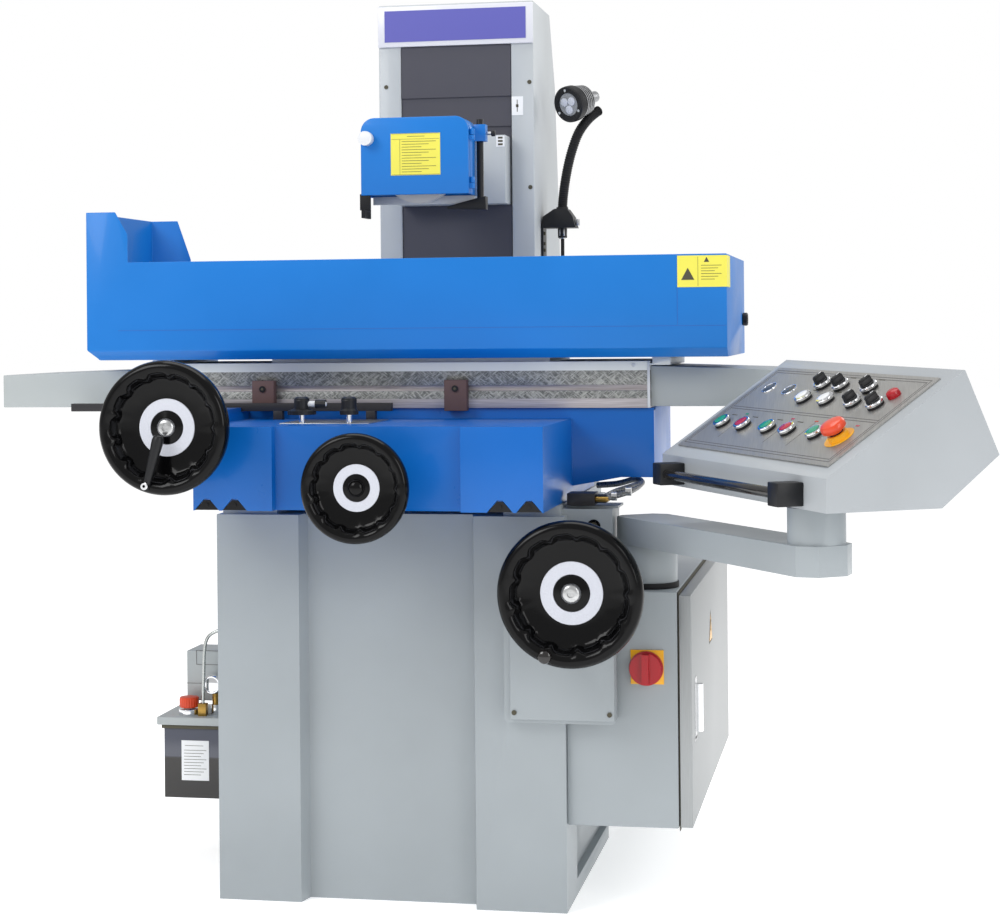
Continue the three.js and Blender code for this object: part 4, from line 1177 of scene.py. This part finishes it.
neck = bmesh.new()
gooseneck(neck)
neck_piece = bpy.data.objects.new("gooseneck", to_mesh("gooseneck", neck))
scene.collection.objects.link(neck_piece)
neck_piece.data.materials.append(LOOKS["rubber"][0])
for polygon in neck_piece.data.polygons:
    polygon.use_smooth = True
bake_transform(neck_piece)
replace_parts(neck_piece, "gooseneck_lower", "gooseneck_upper")


def lamp_mount_trim(bm):
    """Collar under the neck, cable gland, toggle and the bracket's marks."""
    axis = mm(NECK_X, NECK_Y, 0)
    rod(bm, axis, "z", 13, 1294, 1303, 32, 0, 1)
    rod(bm, axis, "z", 10.5, 1240, 1256.5, 6, 1)
    rod(bm, axis, "z", 8, 1234, 1241, 24, 1, 1)
    block(bm, 231.5, 237, 808, 826, 1262, 1276, 1)
    for z in (1206, 1220, 1242):
        block(bm, 161, 164.6, 806, 812, z, z + 7, 2)


make("lamp_mount_trim", "base", ["black", "steel", "ink"], lamp_mount_trim, 0.5)


# ---------------------------------------------------------------- lubricator
FILLER = mm(-472, 278, 0)
GAUGE = mm(-426, 302, 343)
GAUGE_STEM = mm(-422, 290, 0)


def lubricator_trim(bm):
    """Label, motor box outline, gauge, brass fittings, filler neck and the tank's bracket."""
    block(bm, -479, -423, 249.2, 250, 160, 238, 0)
    ink_lines(bm, -472, -430, 249.2, [(228, 0.9)], 1)
    for i in range(9):
        ink_lines(bm, -474, -428, 249.2, [(219 - 6 * i, 1 - 0.12 * (i % 3))], 1)
    block(bm, -486, -336, 305.4, 306.2, 340.5, 341.5, 2)
    for z0, z1 in ((405.5, 406.4), (378, 379)):
        block(bm, -466, -386, 305.4, 306.2, z0, z1, 2)
    for x in (-466, -387):
        block(bm, x, x + 1, 305.4, 306.2, 378, 406.4, 2)
    lathe(bm, GAUGE, "y", [(0, -24), (15, -24), (18.5, -22), (18.5, -4), (16, 0)], 36, 3)
    lathe(bm, GAUGE, "y", [(14, -24.2), (14.5, -25.5), (17, -25.5), (18, -24)], 36, 3)
    rod(bm, GAUGE_STEM, "z", 6, 302, 325, 20, 4)
    rod(bm, GAUGE_STEM, "z", 9, 283, 303, 20, 3)
    block(bm, -449, -433, 262, 278, 283, 308, 4)
    rod(bm, FILLER, "z", 20.5, 283, 296, 40, 3, 1)
    block(bm, -340, -322, 268, 372, 220, 262, 5)


LUBRICATOR_LOOKS = ["paper", "ink", "line", "chrome", "brass", "black"]
make("lubricator_trim", "base", LUBRICATOR_LOOKS, lubricator_trim, 0.5)


def oil_pipe(bm):
    """Pipe from the brass block up and over into the base."""
    line = [
        mm(-441, 270, 306), mm(-439, 270, 360), mm(-437, 270, 410), mm(-431, 270, 436),
        mm(-415, 271, 449), mm(-390, 273, 455), mm(-360, 276, 453), mm(-322, 280, 449),
    ]  # fmt: skip
    sweep(bm, smooth_line(line, 60), 3.2, 14)


make("oil_pipe", "base", "pipe", oil_pipe)
make("tank_rim", "base", "ink", lambda bm: block(bm, -519, -334, 247, 394, 261, 267.8), 1.0)


def filler_ribs(bm):
    """Ribbed skin of the filler cap."""

    def ribbed(angle, r, place):
        rib = 0.5 if r > 18 else 0
        return r + rib * math.cos(24 * angle), place

    profile = [(0, 319.4), (15, 319.4), (18.2, 317.6), (18.6, 314), (18.6, 301), (17.5, 299)]
    lathe(bm, FILLER, "z", profile, 72, 0, ribbed)


make("filler_ribs", "filler_cap", "cap", filler_ribs)
